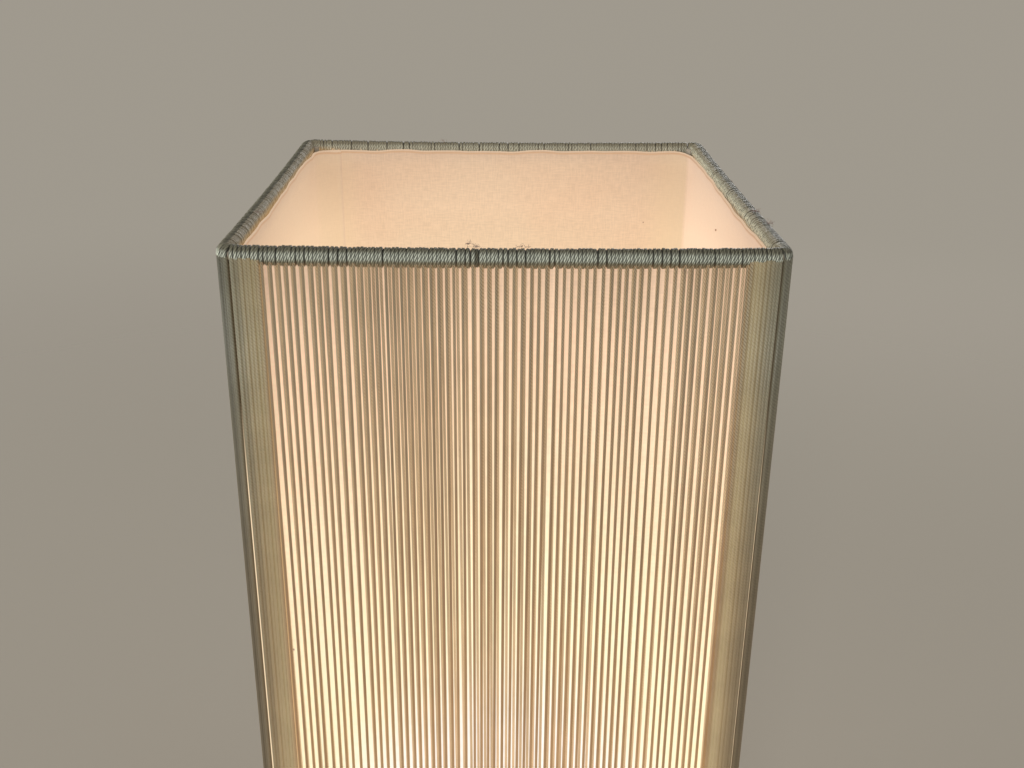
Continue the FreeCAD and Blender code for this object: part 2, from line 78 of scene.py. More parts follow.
class Nodes:
    def __init__(self, tree):
        self.tree = tree

    def put(self, kind, values=None, **settings):
        # One node. Its inputs are given by name or number, as plain values or as Values.
        node = self.tree.nodes.new(kind)
        for name, value in settings.items():
            setattr(node, name, value)
        for key, value in (values or {}).items():
            if isinstance(value, Value):
                self.tree.links.new(value.socket(), node.inputs[key])
            else:
                node.inputs[key].default_value = value
        return Value(self, node)

    def calc(self, operation, *values):
        return self.put("ShaderNodeMath", dict(enumerate(values)), operation=operation)

    def vector(self, operation, *values, **named):
        # Its second output is the one for a plain number.
        return self.put("ShaderNodeVectorMath", {**dict(enumerate(values)), **named}, operation=operation)

    def apart(self, vector):
        return self.put("ShaderNodeSeparateXYZ", {0: vector})

    def together(self, x=0.0, y=0.0, z=0.0):
        return self.put("ShaderNodeCombineXYZ", {0: x, 1: y, 2: z})

    def remap(self, value, low, high, toLow=0.0, toHigh=1.0, smooth=False):
        facts = {"Value": value, "From Min": low, "From Max": high, "To Min": toLow, "To Max": toHigh}
        return self.put("ShaderNodeMapRange", facts, interpolation_type="SMOOTHSTEP" if smooth else "LINEAR")

    def use(self, group, values):
        kind = "ShaderNodeGroup" if self.tree.bl_idname == "ShaderNodeTree" else "GeometryNodeGroup"
        return self.put(kind, values, node_tree=group)

    def finish(self, *results):
        self.put("NodeGroupOutput", dict(enumerate(results)))
        return self.tree

    # For shader trees

    def mix(self, factor, first, second, blend="MIX"):
        first, second = ((*side, 1.0) if isinstance(side, tuple) else side for side in (first, second))
        return self.put("ShaderNodeMix", {0: factor, 6: first, 7: second}, data_type="RGBA", blend_type=blend)[2]

    def times(self, colour, other):
        return self.mix(1.0, colour, other, "MULTIPLY")

    def noise(self, place, scale, detail, bent=0.0, flat=False):
        return self.put("ShaderNodeTexNoise", {"Vector": place, "Scale": scale, "Detail": detail,
                                               "Distortion": bent}, noise_dimensions="2D" if flat else "3D")

    def where(self):
        # Place on the object, and normal.
        here = self.put("ShaderNodeTexCoord")
        return here["Object"], here["Normal"]

    def bump(self, height, distance):
        return self.put("ShaderNodeBump", {"Height": height, "Distance": distance, "Strength": 1.0})

    def feed(self, **values):
        # Links values to the material's shader and gives the material.
        for name, value in values.items():
            self.tree.links.new(value.socket(), self.shader.node.inputs[name.replace("_", " ")])
        return self.material

    # For geometry trees

    def here(self):
        return self.put("GeometryNodeInputPosition")

    def moved(self, geometry, **where):
        return self.put("GeometryNodeSetPosition", {"Geometry": geometry, **where})

    def stored(self, geometry, name, value, kind="FLOAT", domain="POINT"):
        return self.put("GeometryNodeStoreNamedAttribute", {"Geometry": geometry, "Name": name, "Value": value},
                        data_type=kind, domain=domain)

    def named(self, name, kind="FLOAT"):
        return self.put("GeometryNodeInputNamedAttribute", {"Name": name}, data_type=kind)

    def chance(self, low, high, index, seed):
        return self.put("FunctionNodeRandomValue", {2: low, 3: high, "ID": index, "Seed": seed},
                        data_type="FLOAT")[1]

    def realized(self, geometry):
        return self.put("GeometryNodeRealizeInstances", {"Geometry": geometry})

    def finishMesh(self, geometry, material):
        return self.finish(self.put("GeometryNodeSetMaterial",
                                    {"Geometry": self.realized(geometry), "Material": material}))


def newTree(name, kind, inputs, outputs):
    # A node group. inputs gives each input's usual value, None for a vector, and outputs each output's type.
    tree = bpy.data.node_groups.new(name, kind)
    for label, value in inputs.items():
        socket = {int: "Int", float: "Float"}.get(type(value), "Vector")
        made = tree.interface.new_socket(label, in_out="INPUT", socket_type="NodeSocket" + socket)
        if value is not None:
            made.default_value = value
    for label, socket in outputs.items():
        tree.interface.new_socket(label, in_out="OUTPUT", socket_type="NodeSocket" + socket)
    nodes = Nodes(tree)
    return nodes, nodes.put("NodeGroupInput")


def newMaterial(name, **constants):
    # A Principled material. The constants are set on the shader's own sockets.
    material = bpy.data.materials.new(name)
    material.use_nodes = True
    material.node_tree.nodes.clear()
    t = Nodes(material.node_tree)
    t.material = material
    t.shader = t.put("ShaderNodeBsdfPrincipled", {key.replace("_", " "): v for key, v in constants.items()})
    t.put("ShaderNodeOutputMaterial", {"Surface": t.shader})
    return t


# Objects and pieces

def newObject(name, data):
    made = bpy.data.objects.new(name, data)
    bpy.context.scene.collection.objects.link(made)
    return made


def showMesh(name, mesh, material, smooth=None):
    # An object for a finished mesh. smooth is the angle in degrees above which an edge stays sharp.
    mesh.materials.clear()
    mesh.materials.append(material)
    if smooth is not None:
        mesh.shade_smooth()
        mesh.set_sharp_from_angle(angle=math.radians(smooth))
    return newObject(name, mesh)


def addPiece(name, mesh, material, body, finish, *nodes, smooth=32):
    piece = showMesh(name, mesh, material, smooth)
    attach(piece, body)
    if nodes:
        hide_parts(*nodes)
    print(name, len(mesh.polygons))
    return piece


def evaluated(carrier, name):
    # The finished mesh of an object that then goes.
    view = bpy.context.evaluated_depsgraph_get()
    mesh = bpy.data.meshes.new_from_object(carrier.evaluated_get(view), depsgraph=view)
    mesh.name = name
    bpy.data.objects.remove(carrier)
    return mesh


def grow(name, tree, values):
    # Runs a geometry tree on an empty mesh and returns its result as a plain mesh.
    carrier = newObject(name + "_carrier", bpy.data.meshes.new(name + "_carrier"))
    modifier = carrier.modifiers.new(name, "NODES")
    modifier.node_group = tree
    sockets = {item.name: item.identifier for item in tree.interface.items_tree if item.in_out == "INPUT"}
    for label, value in values.items():
        modifier[sockets[label]] = value
    return evaluated(carrier, name)


# Camera, at the photograph's angle and distance

camera = {
    "place": (-0.00344, -0.47746, 0.60667),
    "lens": 40.34,          # on a 36 mm sensor
    "pitch": 22.486,        # degrees below the horizon
    "yaw": 0.913,           # towards +X
    "roll": 0.573,
}


def setCamera():
    view = bpy.data.cameras.new("photoCamera")
    view.lens = camera["lens"]
    view.sensor_width = 36.0
    view.clip_start = 0.01
    turn = Matrix.Rotation(math.radians(-camera["yaw"]), 4, "Z")
    turn = turn @ Matrix.Rotation(math.radians(90 - camera["pitch"]), 4, "X")
    turn = turn @ Matrix.Rotation(math.radians(camera["roll"]), 4, "Z")
    eye = newObject("photoCamera", view)
    eye.matrix_world = Matrix.Translation(camera["place"]) @ turn
    bpy.context.scene.camera = eye
    bpy.context.scene.view_settings.view_transform = "Standard"


# Studio: pale floor, soft lamps, even sky

studio = {
    "backdrop": (0.35, 0.32, 0.27, 1.0),
    "floorColour": (0.44, 0.40, 0.335, 1.0),
    "sky": (1.0, 0.98, 0.95, 1.0),
    "skyLevel": 0.30,
    "floorReach": 3.0,
    "floorFade": (0.5, 2.0),
    "aim": (0, 0, 0.3),
}
lamps = {                   # place, size and the level it gives a surface that faces it
    "key": ((-0.35, -2.2, 0.60), 0.7, 0.65),
    "fill": ((2.3, -1.1, 1.2), 1.5, 0.16),
    "left": ((-2.5, -0.1, 0.85), 1.5, 0.42),
    "rear": ((0.8, 2.4, 0.9), 1.5, 0.26),
    "top": ((0.0, 0.1, 2.6), 1.6, 0.08),
}


def setStudio():
    world = bpy.data.worlds.new("sky")
    bpy.context.scene.world = world
    world.use_nodes = True
    world.node_tree.nodes.clear()
    t = Nodes(world.node_tree)
    # Camera, glossy and transmission rays see the backdrop; the sky's light falls on things
    rays = t.put("ShaderNodeLightPath")
    seen = rays["Is Camera Ray"].do("MAXIMUM", rays["Is Glossy Ray"]).do("MAXIMUM", rays["Is Transmission Ray"])
    sky, backdrop = (t.put("ShaderNodeBackground", {"Color": studio[colour], "Strength": strength})
                     for colour, strength in (("sky", studio["skyLevel"]), ("backdrop", 1.0)))
    t.put("ShaderNodeOutputWorld", {"Surface": t.put("ShaderNodeMixShader", {0: seen, 1: sky, 2: backdrop})})

    reach = studio["floorReach"]
    mesh = bpy.data.meshes.new("floor")
    mesh.from_pydata([(x * reach, y * reach, 0) for x, y in ((-1, -1), (1, -1), (1, 1), (-1, 1))], [], [(0, 1, 2, 3)])
    t = newMaterial("floorPaint", Base_Color=studio["floorColour"], Roughness=0.9, Specular_IOR_Level=0.1)
    x, y, _z = t.apart(t.where()[0])
    material = t.feed(Alpha=t.remap((x * x + y * y).do("SQRT"), *studio["floorFade"], 1.0, 0.0, smooth=True))
    showMesh("floor", mesh, material)

    for name, (place, size, level) in lamps.items():
        light = bpy.data.lights.new(name, "AREA")
        light.shape = "SQUARE"
        light.size = size
        aim = Vector(studio["aim"]) - Vector(place)
        light.energy = level * math.pi ** 2 * aim.length_squared
        source = newObject(name, light)
        source.location = place
        source.rotation_euler = aim.to_track_quat("-Z", "Y").to_euler()


# Sizes shared by the pieces, read from the frame

ringLow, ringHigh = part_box("top_ring")
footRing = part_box("bottom_ring")
linerLow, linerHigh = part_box("liner")
lamp = {
    "wire": (ringHigh.z - ringLow.z) / 2,        # radius of the ring's wire
    "ringHalf": ringHigh.x - (ringHigh.z - ringLow.z) / 2,
    "topRing": (ringHigh.z + ringLow.z) / 2,
    "bottomRing": (footRing[0].z + footRing[1].z) / 2,
    "bend": 0.004,                               # of the wire's middle line, at the corners
    "sag": 0.0009,                               # upper ring, pulled down by the cords at mid side
    "bulbMiddle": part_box("bulb_glass")[1].z - 0.030,
}


# Painted lamp light, as emission in the cloth and the cords: warm, by distance from the bulb, less where a corner
# turns away

glow = {
    "near": 0.09,
    "far": 0.36,
    "spread": 1.0,                      # how much faster it fades to the sides of a wall, low on the lamp
    "spreadTop": (0.30, 0.47),          # it fades evenly above
    "cloth": ((0.0, (0.87, 0.88, 0.86)), (0.315, (0.87, 0.88, 0.82)), (0.387, (0.87, 0.88, 0.70)),
              (0.453, (0.87, 0.87, 0.60)), (0.53, (0.87, 0.85, 0.57)), (0.65, (0.86, 0.75, 0.505)),
              (0.81, (0.83, 0.61, 0.41)), (0.90, (0.79, 0.56, 0.38)), (1.0, (0.545, 0.375, 0.26))),
    "strands": ((0.0, (0.34, 0.18, 0.08)), (0.315, (0.27, 0.125, 0.047)), (0.387, (0.215, 0.086, 0.024)),
                (0.53, (0.16, 0.058, 0.020)), (0.66, (0.13, 0.052, 0.020)), (1.0, (0.11, 0.055, 0.020))),
    "through": (1.0, 0.55),             # light through a strand, near and far
    "corner": (0.0845, 0.0985, 1.0, 0.1),         # painted shade round a corner: from, to, whole and what is left
    "dense": (0.0835, 0.0862, 0.0955, 0.25),      # strands crowd from here, most golden here, olive here, left
    "hidden": (0.0845, 0.0872, 1.0, 0.06),        # painted shade on the cloth behind them
}


def lampGlowGroup():
    t, given = newTree("lampGlow", "ShaderNodeTree", {"Place": None, "Spread": 0.0},
                       {"Colour": "Color", "Strand": "Color", "Through": "Float", "Corner": "Float",
                        "Dense": "Float", "Hidden": "Float", "Near": "Float", "Part": "Float"})
    x, y, z = t.apart(given["Place"])
    x, y = abs(x), abs(y)
    near = x.do("MINIMUM", y)
    spread = given["Spread"] * t.remap(z, *glow["spreadTop"], 1.0, 0.0) + 1.0
    away = t.vector("DISTANCE", t.together(x.do("MAXIMUM", y), near * spread, z), (0.0, 0.0, lamp["bulbMiddle"]))[1]
    part = t.remap(away, glow["near"], glow["far"])
    ramps = []
    for name in ("cloth", "strands"):
        ramps.append(t.put("ShaderNodeValToRGB", {0: part}))
        stops = ramps[-1].node.color_ramp.elements
        stops[0].color, stops[1].color = (*glow[name][0][1], 1.0), (*glow[name][-1][1], 1.0)
        for spot, colour in glow[name][1:-1]:
            stops.new(spot).color = (*colour, 1.0)
    first, golden, olive, left = glow["dense"]
    dense = t.remap(near, first, golden) * t.remap(near, golden, olive, 1.0, left)
    corner, hidden = (t.remap(near, *glow[name], smooth=True) for name in ("corner", "hidden"))
    return t.finish(*ramps, t.remap(part, 0.25, 0.9, *glow["through"]), corner, dense, hidden, near, part)


# Cord: twisted, wound round the rings and strung between them. Each value is an input of the cord trees.

cord = {
    "turns": 560,           # round one ring
    "thick": 0.00142,       # across the winding
    "wide": 0.0018,         # along the ring, pressed into its neighbours
    "tall": 1.05,           # a turn is a little taller than deep
    "strand": 0.00112,      # pulled straight
    "packed": 1.57,         # how much wider a strand is where they crowd at a corner
    "innerPacked": 1.6,     # and of the last inner strand beside them
    "innerBefore": 0.0012,  # which stands this far before the crowd
    "uneven": 0.050,        # difference in size from turn to turn
    "sink": 0.0002,         # outer strands, inside the turns' outermost line
    "jitter": 0.08,         # uneven spacing, as a share of a turn
    "gap": 0.0005,          # dark gap between groups of turns
    "gapShare": 0.17,       # turns that have one
    "cornerShare": 0.55,    # and near the corners
    "cornerGap": 0.6,       # where it is this much narrower
    "cornerFrom": 0.078,
    "cornerTo": 0.086,
    "wideGapAt": -0.0101,   # one turn has slipped here, on the front
    "wideGap": 0.0003,
    "slippedReach": 0.00071,
    "slippedIn": -0.0004,
    "slippedSize": -0.12,
    # the slipped turn's painted shade, as it lies in a recess
    "slippedShade": -1.5,
    "crowded": 0.0842,      # beyond this every turn sends its strand down the outside
    "innerEnd": 0.0875,     # and the inner layer ends
    "innerTop": -0.00089,   # inner strands stand this far along from their turn at the top
    "innerFoot": 0.00135,   # and at the bottom
    "innerDrift": -0.0045,  # and draw together by this share of their distance from mid side
    "slitAt": 0.0951,       # open line beside each corner
    "slitReach": 0.00066,
    "slit": 0.0011,
    "lean": 0.0003,
    "tilt": 3.0,            # degrees
    "lay": 0.0054,          # length of one twist of a strand
    "turnTwists": 11 / 6,   # round one turn
    "seed": 11,
}
cordLook = {                # pairs are dark then light, or far then near
    "strandPlies": 4.0,
    "turnPlies": 6.0,                                             # a wound turn shows its finer yarns
    "yarn": ((0.158, 0.148, 0.099), (0.43, 0.445, 0.355)),        # plain and with a painted highlight
    "groove": ((0.084, 0.079, 0.048), (0.016, 0.019, 0.011)),
    "rubbedFrom": 0.0002,                                         # centre of the painted highlight band, above the wire's middle
    "faded": (1.75, 0.62),                                        # painted light and shade on turns along the sides, to the left and right
    "strand": ((0.062, 0.062, 0.036), (0.215, 0.216, 0.158)),
    "brown": (0.97, 0.80, 0.68),                                  # strands low on the lamp, painted as they look against the light
    "pressed": 0.62,                                              # plies where strands crowd
    "corner": 0.56,                                               # painted shade: colour left round a corner
    # Painted lamp light in the cords, as emission, with its painted shade
    "rim": (0.34, 0.18, 0.065),
    "crowd": ((0.185, 0.120, 0.046), (0.31, 0.225, 0.115)),
    "inner": ((0.62, 0.40, 0.225), (0.74, 0.43, 0.19)),
    "caught": (0.40, 0.24, 0.10),
    "back": (0.012, 0.007, 0.003),
    "slit": (0.93, 0.74, 0.50),
    "facing": ((0.085, 0.068, 0.045), (0.27, 0.16, 0.065)),
}


def cordInputs():
    # Named inputs for the cord trees: "gapShare" becomes "Gap Share". Gaps count in turns.
    half = lamp["ringHalf"] + lamp["wire"] + cord["thick"] / 2
    mean = (8 * lamp["ringHalf"] + math.tau * lamp["bend"]) / cord["turns"]
    facts = {**cord, **{key: cord[key] / mean for key in ("gap", "wideGap", "slit")}, "quarter": 0.0,
             "half": half, "bend": lamp["bend"] + half - lamp["ringHalf"], "wire": lamp["wire"],
             "top": lamp["topRing"], "bottom": lamp["bottomRing"], "sag": lamp["sag"],
             "tilt": math.radians(cord["tilt"])}
    return {"".join(" " + letter if letter.isupper() else letter for letter in key).title(): value
            for key, value in facts.items()}


def nearSide(t, place):
    # Distance along a side from its middle.
    x, y, _z = t.apart(place)
    return abs(x).do("MINIMUM", abs(y))


def cordPlacesTree(inputs):
    # Where the turns stand along one side of a ring, on the line of the cord's outermost point.
    t, given = newTree("cordPlaces", "GeometryNodeTree", inputs,
                       {"Points": "Geometry", "Outward": "Vector", "Along": "Float", "Order": "Int"})
    across = given["Half"] * 2.0
    square = t.put("GeometryNodeCurvePrimitiveQuadrilateral", {"Width": across, "Height": across})
    path = t.put("GeometryNodeFilletCurve", {"Curve": square, "Count": 8, "Radius": given["Bend"]}, mode="POLY")
    index = t.put("GeometryNodeInputIndex")

    def sample(factor):
        return t.put("GeometryNodeSampleCurve", {"Curves": path, "Factor": factor}, mode="FACTOR")

    def chance(step):
        return t.chance(0.0, 1.0, index, given["Seed"] + step)

    # Even places first, to know which turns stand near a corner or at the slipped turn
    even = sample(index / given["Turns"])["Position"]
    along = nearSide(t, even)
    atCorner = t.remap(along, given["Corner From"], given["Corner To"], smooth=True)
    share = atCorner * (given["Corner Share"] - given["Gap Share"]) + given["Gap Share"]
    gap = (chance(1) < share) * given["Gap"] * (atCorner * (given["Corner Gap"] - 1.0) + 1.0)
    x, y, _z = t.apart(even)
    slipped = (abs(x - given["Wide Gap At"]) < given["Slipped Reach"]) * (y < 0.0)
    atSlit = abs(along - given["Slit At"]) < given["Slit Reach"]
    step = chance(2) * given["Jitter"] + 1.0 + gap + slipped * given["Wide Gap"] + atSlit * given["Slit"]
    summed = t.put("GeometryNodeAccumulateField", {0: step}, data_type="FLOAT")

    real = sample(summed["Trailing"] / summed["Total"])
    turned = t.vector("CROSS_PRODUCT", real["Tangent"], (0.0, 0.0, 1.0))
    inside = t.vector("DOT_PRODUCT", turned, real["Position"])[1].do("SIGN")
    placed = t.moved(t.put("GeometryNodePoints", {"Count": given["Turns"]}), Position=real["Position"])
    placed = t.stored(placed, "outward", t.vector("SCALE", turned, Scale=inside), "FLOAT_VECTOR")
    placed = t.stored(placed, "order", index, "INT")
    placed = t.stored(placed, "slipped", slipped)

    # Only this side's turns are kept, from the middle of one corner to the middle of the next
    here, angle = t.here(), given["Quarter"]
    towards = t.vector("DOT_PRODUCT", here, t.together(angle.do("SINE"), angle.do("COSINE") * -1.0))[1]
    limit = t.vector("LENGTH", here)[1] * math.sqrt(0.5)
    kept = t.put("GeometryNodeDeleteGeometry", {"Geometry": placed, "Selection": towards < limit})
    return t.finish(kept, t.named("outward", "FLOAT_VECTOR"), nearSide(t, here), t.named("order", "INT"))


def rolledGrid(name, inputs, across, rows, shape):
    # A grid rolled into a closed tube. shape gives each point's place, and a map of once round and the twists.
    t, given = newTree(name, "GeometryNodeTree", inputs, {"Mesh": "Geometry"})
    grid = t.put("GeometryNodeMeshGrid", {"Vertices X": across, "Vertices Y": rows, "Size X": 1.0, "Size Y": 1.0})
    u, v, _w = t.apart(grid["UV Map"])
    place, once, twists = shape(t, given, u, v)
    mapped = t.stored(grid, "cordMap", t.together(once, twists), "FLOAT2", "CORNER")
    return t.finish(t.put("GeometryNodeMergeByDistance", {"Geometry": t.moved(mapped, Position=place),
                                                          "Distance": 1e-6}))


def cordTubeTree():
    # A straight strand, eight-sided. Its first and last rows close the ends.
    rows = 12

    def shape(t, given, u, v):
        row, angle = v * (rows - 1.0), u * math.tau
        part = t.remap(row, 1.0, rows - 2.0)
        reach = given["Radius"] * ((row > 0.5) * (row < rows - 1.5))
        long = given["High"] - given["Low"]
        place = t.together(reach * angle.do("COSINE"), reach * angle.do("SINE"), part * long + given["Low"])
        return place, u, part * long / given["Lay"]
    return rolledGrid("cordTube", {"Radius": 0.001, "Low": 0.0, "High": 0.1, "Lay": 0.004}, 9, rows, shape)


def cordLoopTree():
    # One turn round the ring, six-sided. Its outermost point is at the origin and +Y points outward.
    def shape(t, given, u, v):
        flatOut = math.radians(30)
        angle, section = u * math.tau, v * math.tau + flatOut
        half = given["Thick"] * 0.5
        middle = given["Wire"] + half
        reach = half / math.cos(flatOut) * section.do("COSINE") + middle
        place = t.together(given["Wide"] * 0.5 * section.do("SINE"), reach * angle.do("COSINE") - middle,
                           reach * angle.do("SINE") * given["Tall"])
        return place, v, u * given["Twists"]
    return rolledGrid("cordLoop", {"Wire": 0.002, "Thick": 0.0014, "Wide": 0.0013, "Tall": 1.0, "Twists": 5.0},
                      15, 7, shape)


def cordSideTree(material, inputs):
    # One side of the shade: its turns on both rings, and the strands of both layers between them.
    shared = {name: inputs[name] for name in (
        "Half", "Bend", "Turns", "Gap", "Gap Share", "Corner Share", "Corner Gap", "Corner From", "Corner To",
        "Jitter", "Wide Gap At", "Wide Gap", "Slipped Reach", "Slit At", "Slit Reach", "Slit", "Quarter", "Seed")}
    placesTree, loopTree, tubeTree = cordPlacesTree(shared), cordLoopTree(), cordTubeTree()
    t, given = newTree("cordSide", "GeometryNodeTree", inputs, {"Mesh": "Geometry"})
    points, outward, along, order = t.use(placesTree, {name: given[name] for name in shared})

    def chance(step, low, high):
        return t.chance(low, high, order, given["Seed"] + step)

    def scaled(vector, factor):
        return t.vector("SCALE", vector, Scale=factor)

    def planted(places, shape, turn, size, **values):
        # Copies of a shape, which keep the values as attributes of their own faces.
        copies = t.put("GeometryNodeInstanceOnPoints", {"Points": places, "Instance": shape, "Rotation": turn,
                                                        "Scale": size})
        for name, value in values.items():
            copies = t.stored(copies, name, value, "FLOAT_VECTOR" if name == "lean" else "FLOAT", "INSTANCE")
        return t.realized(copies)

    # Turns. The slipped one lies deeper, and is painted darker, as shade in its recess.
    loop = t.use(loopTree, {"Twists": given["Turn Twists"],
                            **{name: given[name] for name in ("Wire", "Thick", "Wide", "Tall")}})
    slipped = t.named("slipped")
    ox, oy, _oz = t.apart(outward)
    facing = oy.do("ARCTAN2", ox) - math.pi / 2
    parts = []
    for level, step in (("Top", 10), ("Bottom", 20)):
        proud = chance(step + 3, -0.0016, 0.0004) * given["Uneven"] + slipped * given["Slipped In"]
        raised = t.moved(points, Offset=t.vector("ADD", t.together(z=given[level]), scaled(outward, proud)))
        full = chance(step + 2, -1.0, 0.4) * given["Uneven"] + 1.0 + slipped * given["Slipped Size"]
        turn = t.together(0.0, chance(step, -1.0, 1.0) * given["Tilt"], facing)
        shade = slipped * given["Slipped Shade"] + chance(step + 1, 0.0, 1.0)
        parts.append(planted(raised, loop, turn, t.together(1.0, full, full), shade=shade, layer=0.0))

    # Strands: every second turn sends one down inside the ring, the others and those near a corner outside it
    odd, crowded = order % 2.0, along > given["Crowded"]
    sideways = t.vector("CROSS_PRODUCT", (0.0, 0.0, 1.0), outward)
    tube = t.use(tubeTree, {"Radius": given["Strand"] * 0.5, "Low": given["Bottom"], "High": given["Top"],
                            "Lay": given["Lay"]})
    # The inner ones cross over to the next turn on their way
    back = given["Wire"] * -2.0 + given["Thick"] * -1.0
    drift = t.vector("DOT_PRODUCT", t.here(), sideways)[1] * given["Inner Drift"] + given["Inner Top"]
    layers = (
        (1.0, (1.0 - odd).do("MAXIMUM", crowded), 30, given["Sink"] * -1.0, 0.0, 0.0, given["Packed"], crowded),
        (2.0, odd * (along < given["Inner End"]), 40, back, drift, given["Inner Foot"] - given["Inner Top"],
         given["Inner Packed"], along > given["Crowded"] - given["Inner Before"]),
    )
    for layer, keep, step, inset, shift, cross, packed, wider in layers:
        chosen = t.put("GeometryNodeDeleteGeometry", {"Geometry": points, "Selection": 1.0 - keep})
        chosen = t.moved(chosen, Offset=t.vector("ADD", scaled(outward, inset), scaled(sideways, shift)))
        lean = chance(step + 2, -1.0, 1.0) * given["Lean"] + cross
        size = chance(step + 1, 0.94, 1.06) * (wider * (packed - 1.0) + 1.0)
        strands = planted(chosen, tube, t.together(0.0, 0.0, chance(step, 0.0, math.tau)),
                          t.together(size, size, 1.0), shade=chance(step + 3, 0.0, 1.0), layer=layer,
                          lean=scaled(sideways, lean))
        downward = t.remap(t.apart(t.here())[2], given["Bottom"], given["Top"], 1.0, 0.0)
        parts.append(t.moved(strands, Offset=scaled(t.named("lean", "FLOAT_VECTOR"), downward)))

    joined = t.put("GeometryNodeJoinGeometry")
    for part in parts:
        t.tree.links.new(part.socket(), joined.node.inputs[0])
    # The upper ring is pulled down a little at mid side
    here = t.here()
    part = nearSide(t, here) / given["Half"]
    upper = t.remap(t.apart(here)[2], given["Bottom"], given["Top"])
    fall = (1.0 - part * part) * upper * (given["Sag"] * -1.0)
    bowed = t.moved(joined, Offset=t.together(z=fall))
    return t.finishMesh(t.put("GeometryNodeSetShadeSmooth", {"Geometry": bowed, "Shade Smooth": True}), material)


def plyTwistGroup():
    # Plies of a twisted cord from its map: the crown of each, and 0 in the grooves between them.
    t, given = newTree("plyTwist", "ShaderNodeTree", {"Map": None, "Plies": 3.0, "Start": 0.0},
                       {"Crown": "Float", "Open": "Float"})
    u, v, _w = t.apart(given["Map"])
    off = ((u + v) * given["Plies"] + given["Start"]).do("FRACT") * 2.0 - 1.0
    crown = (1.02 - off * off).do("SQRT")
    return t.finish(crown, t.remap(crown, 0.45, 0.98, smooth=True))


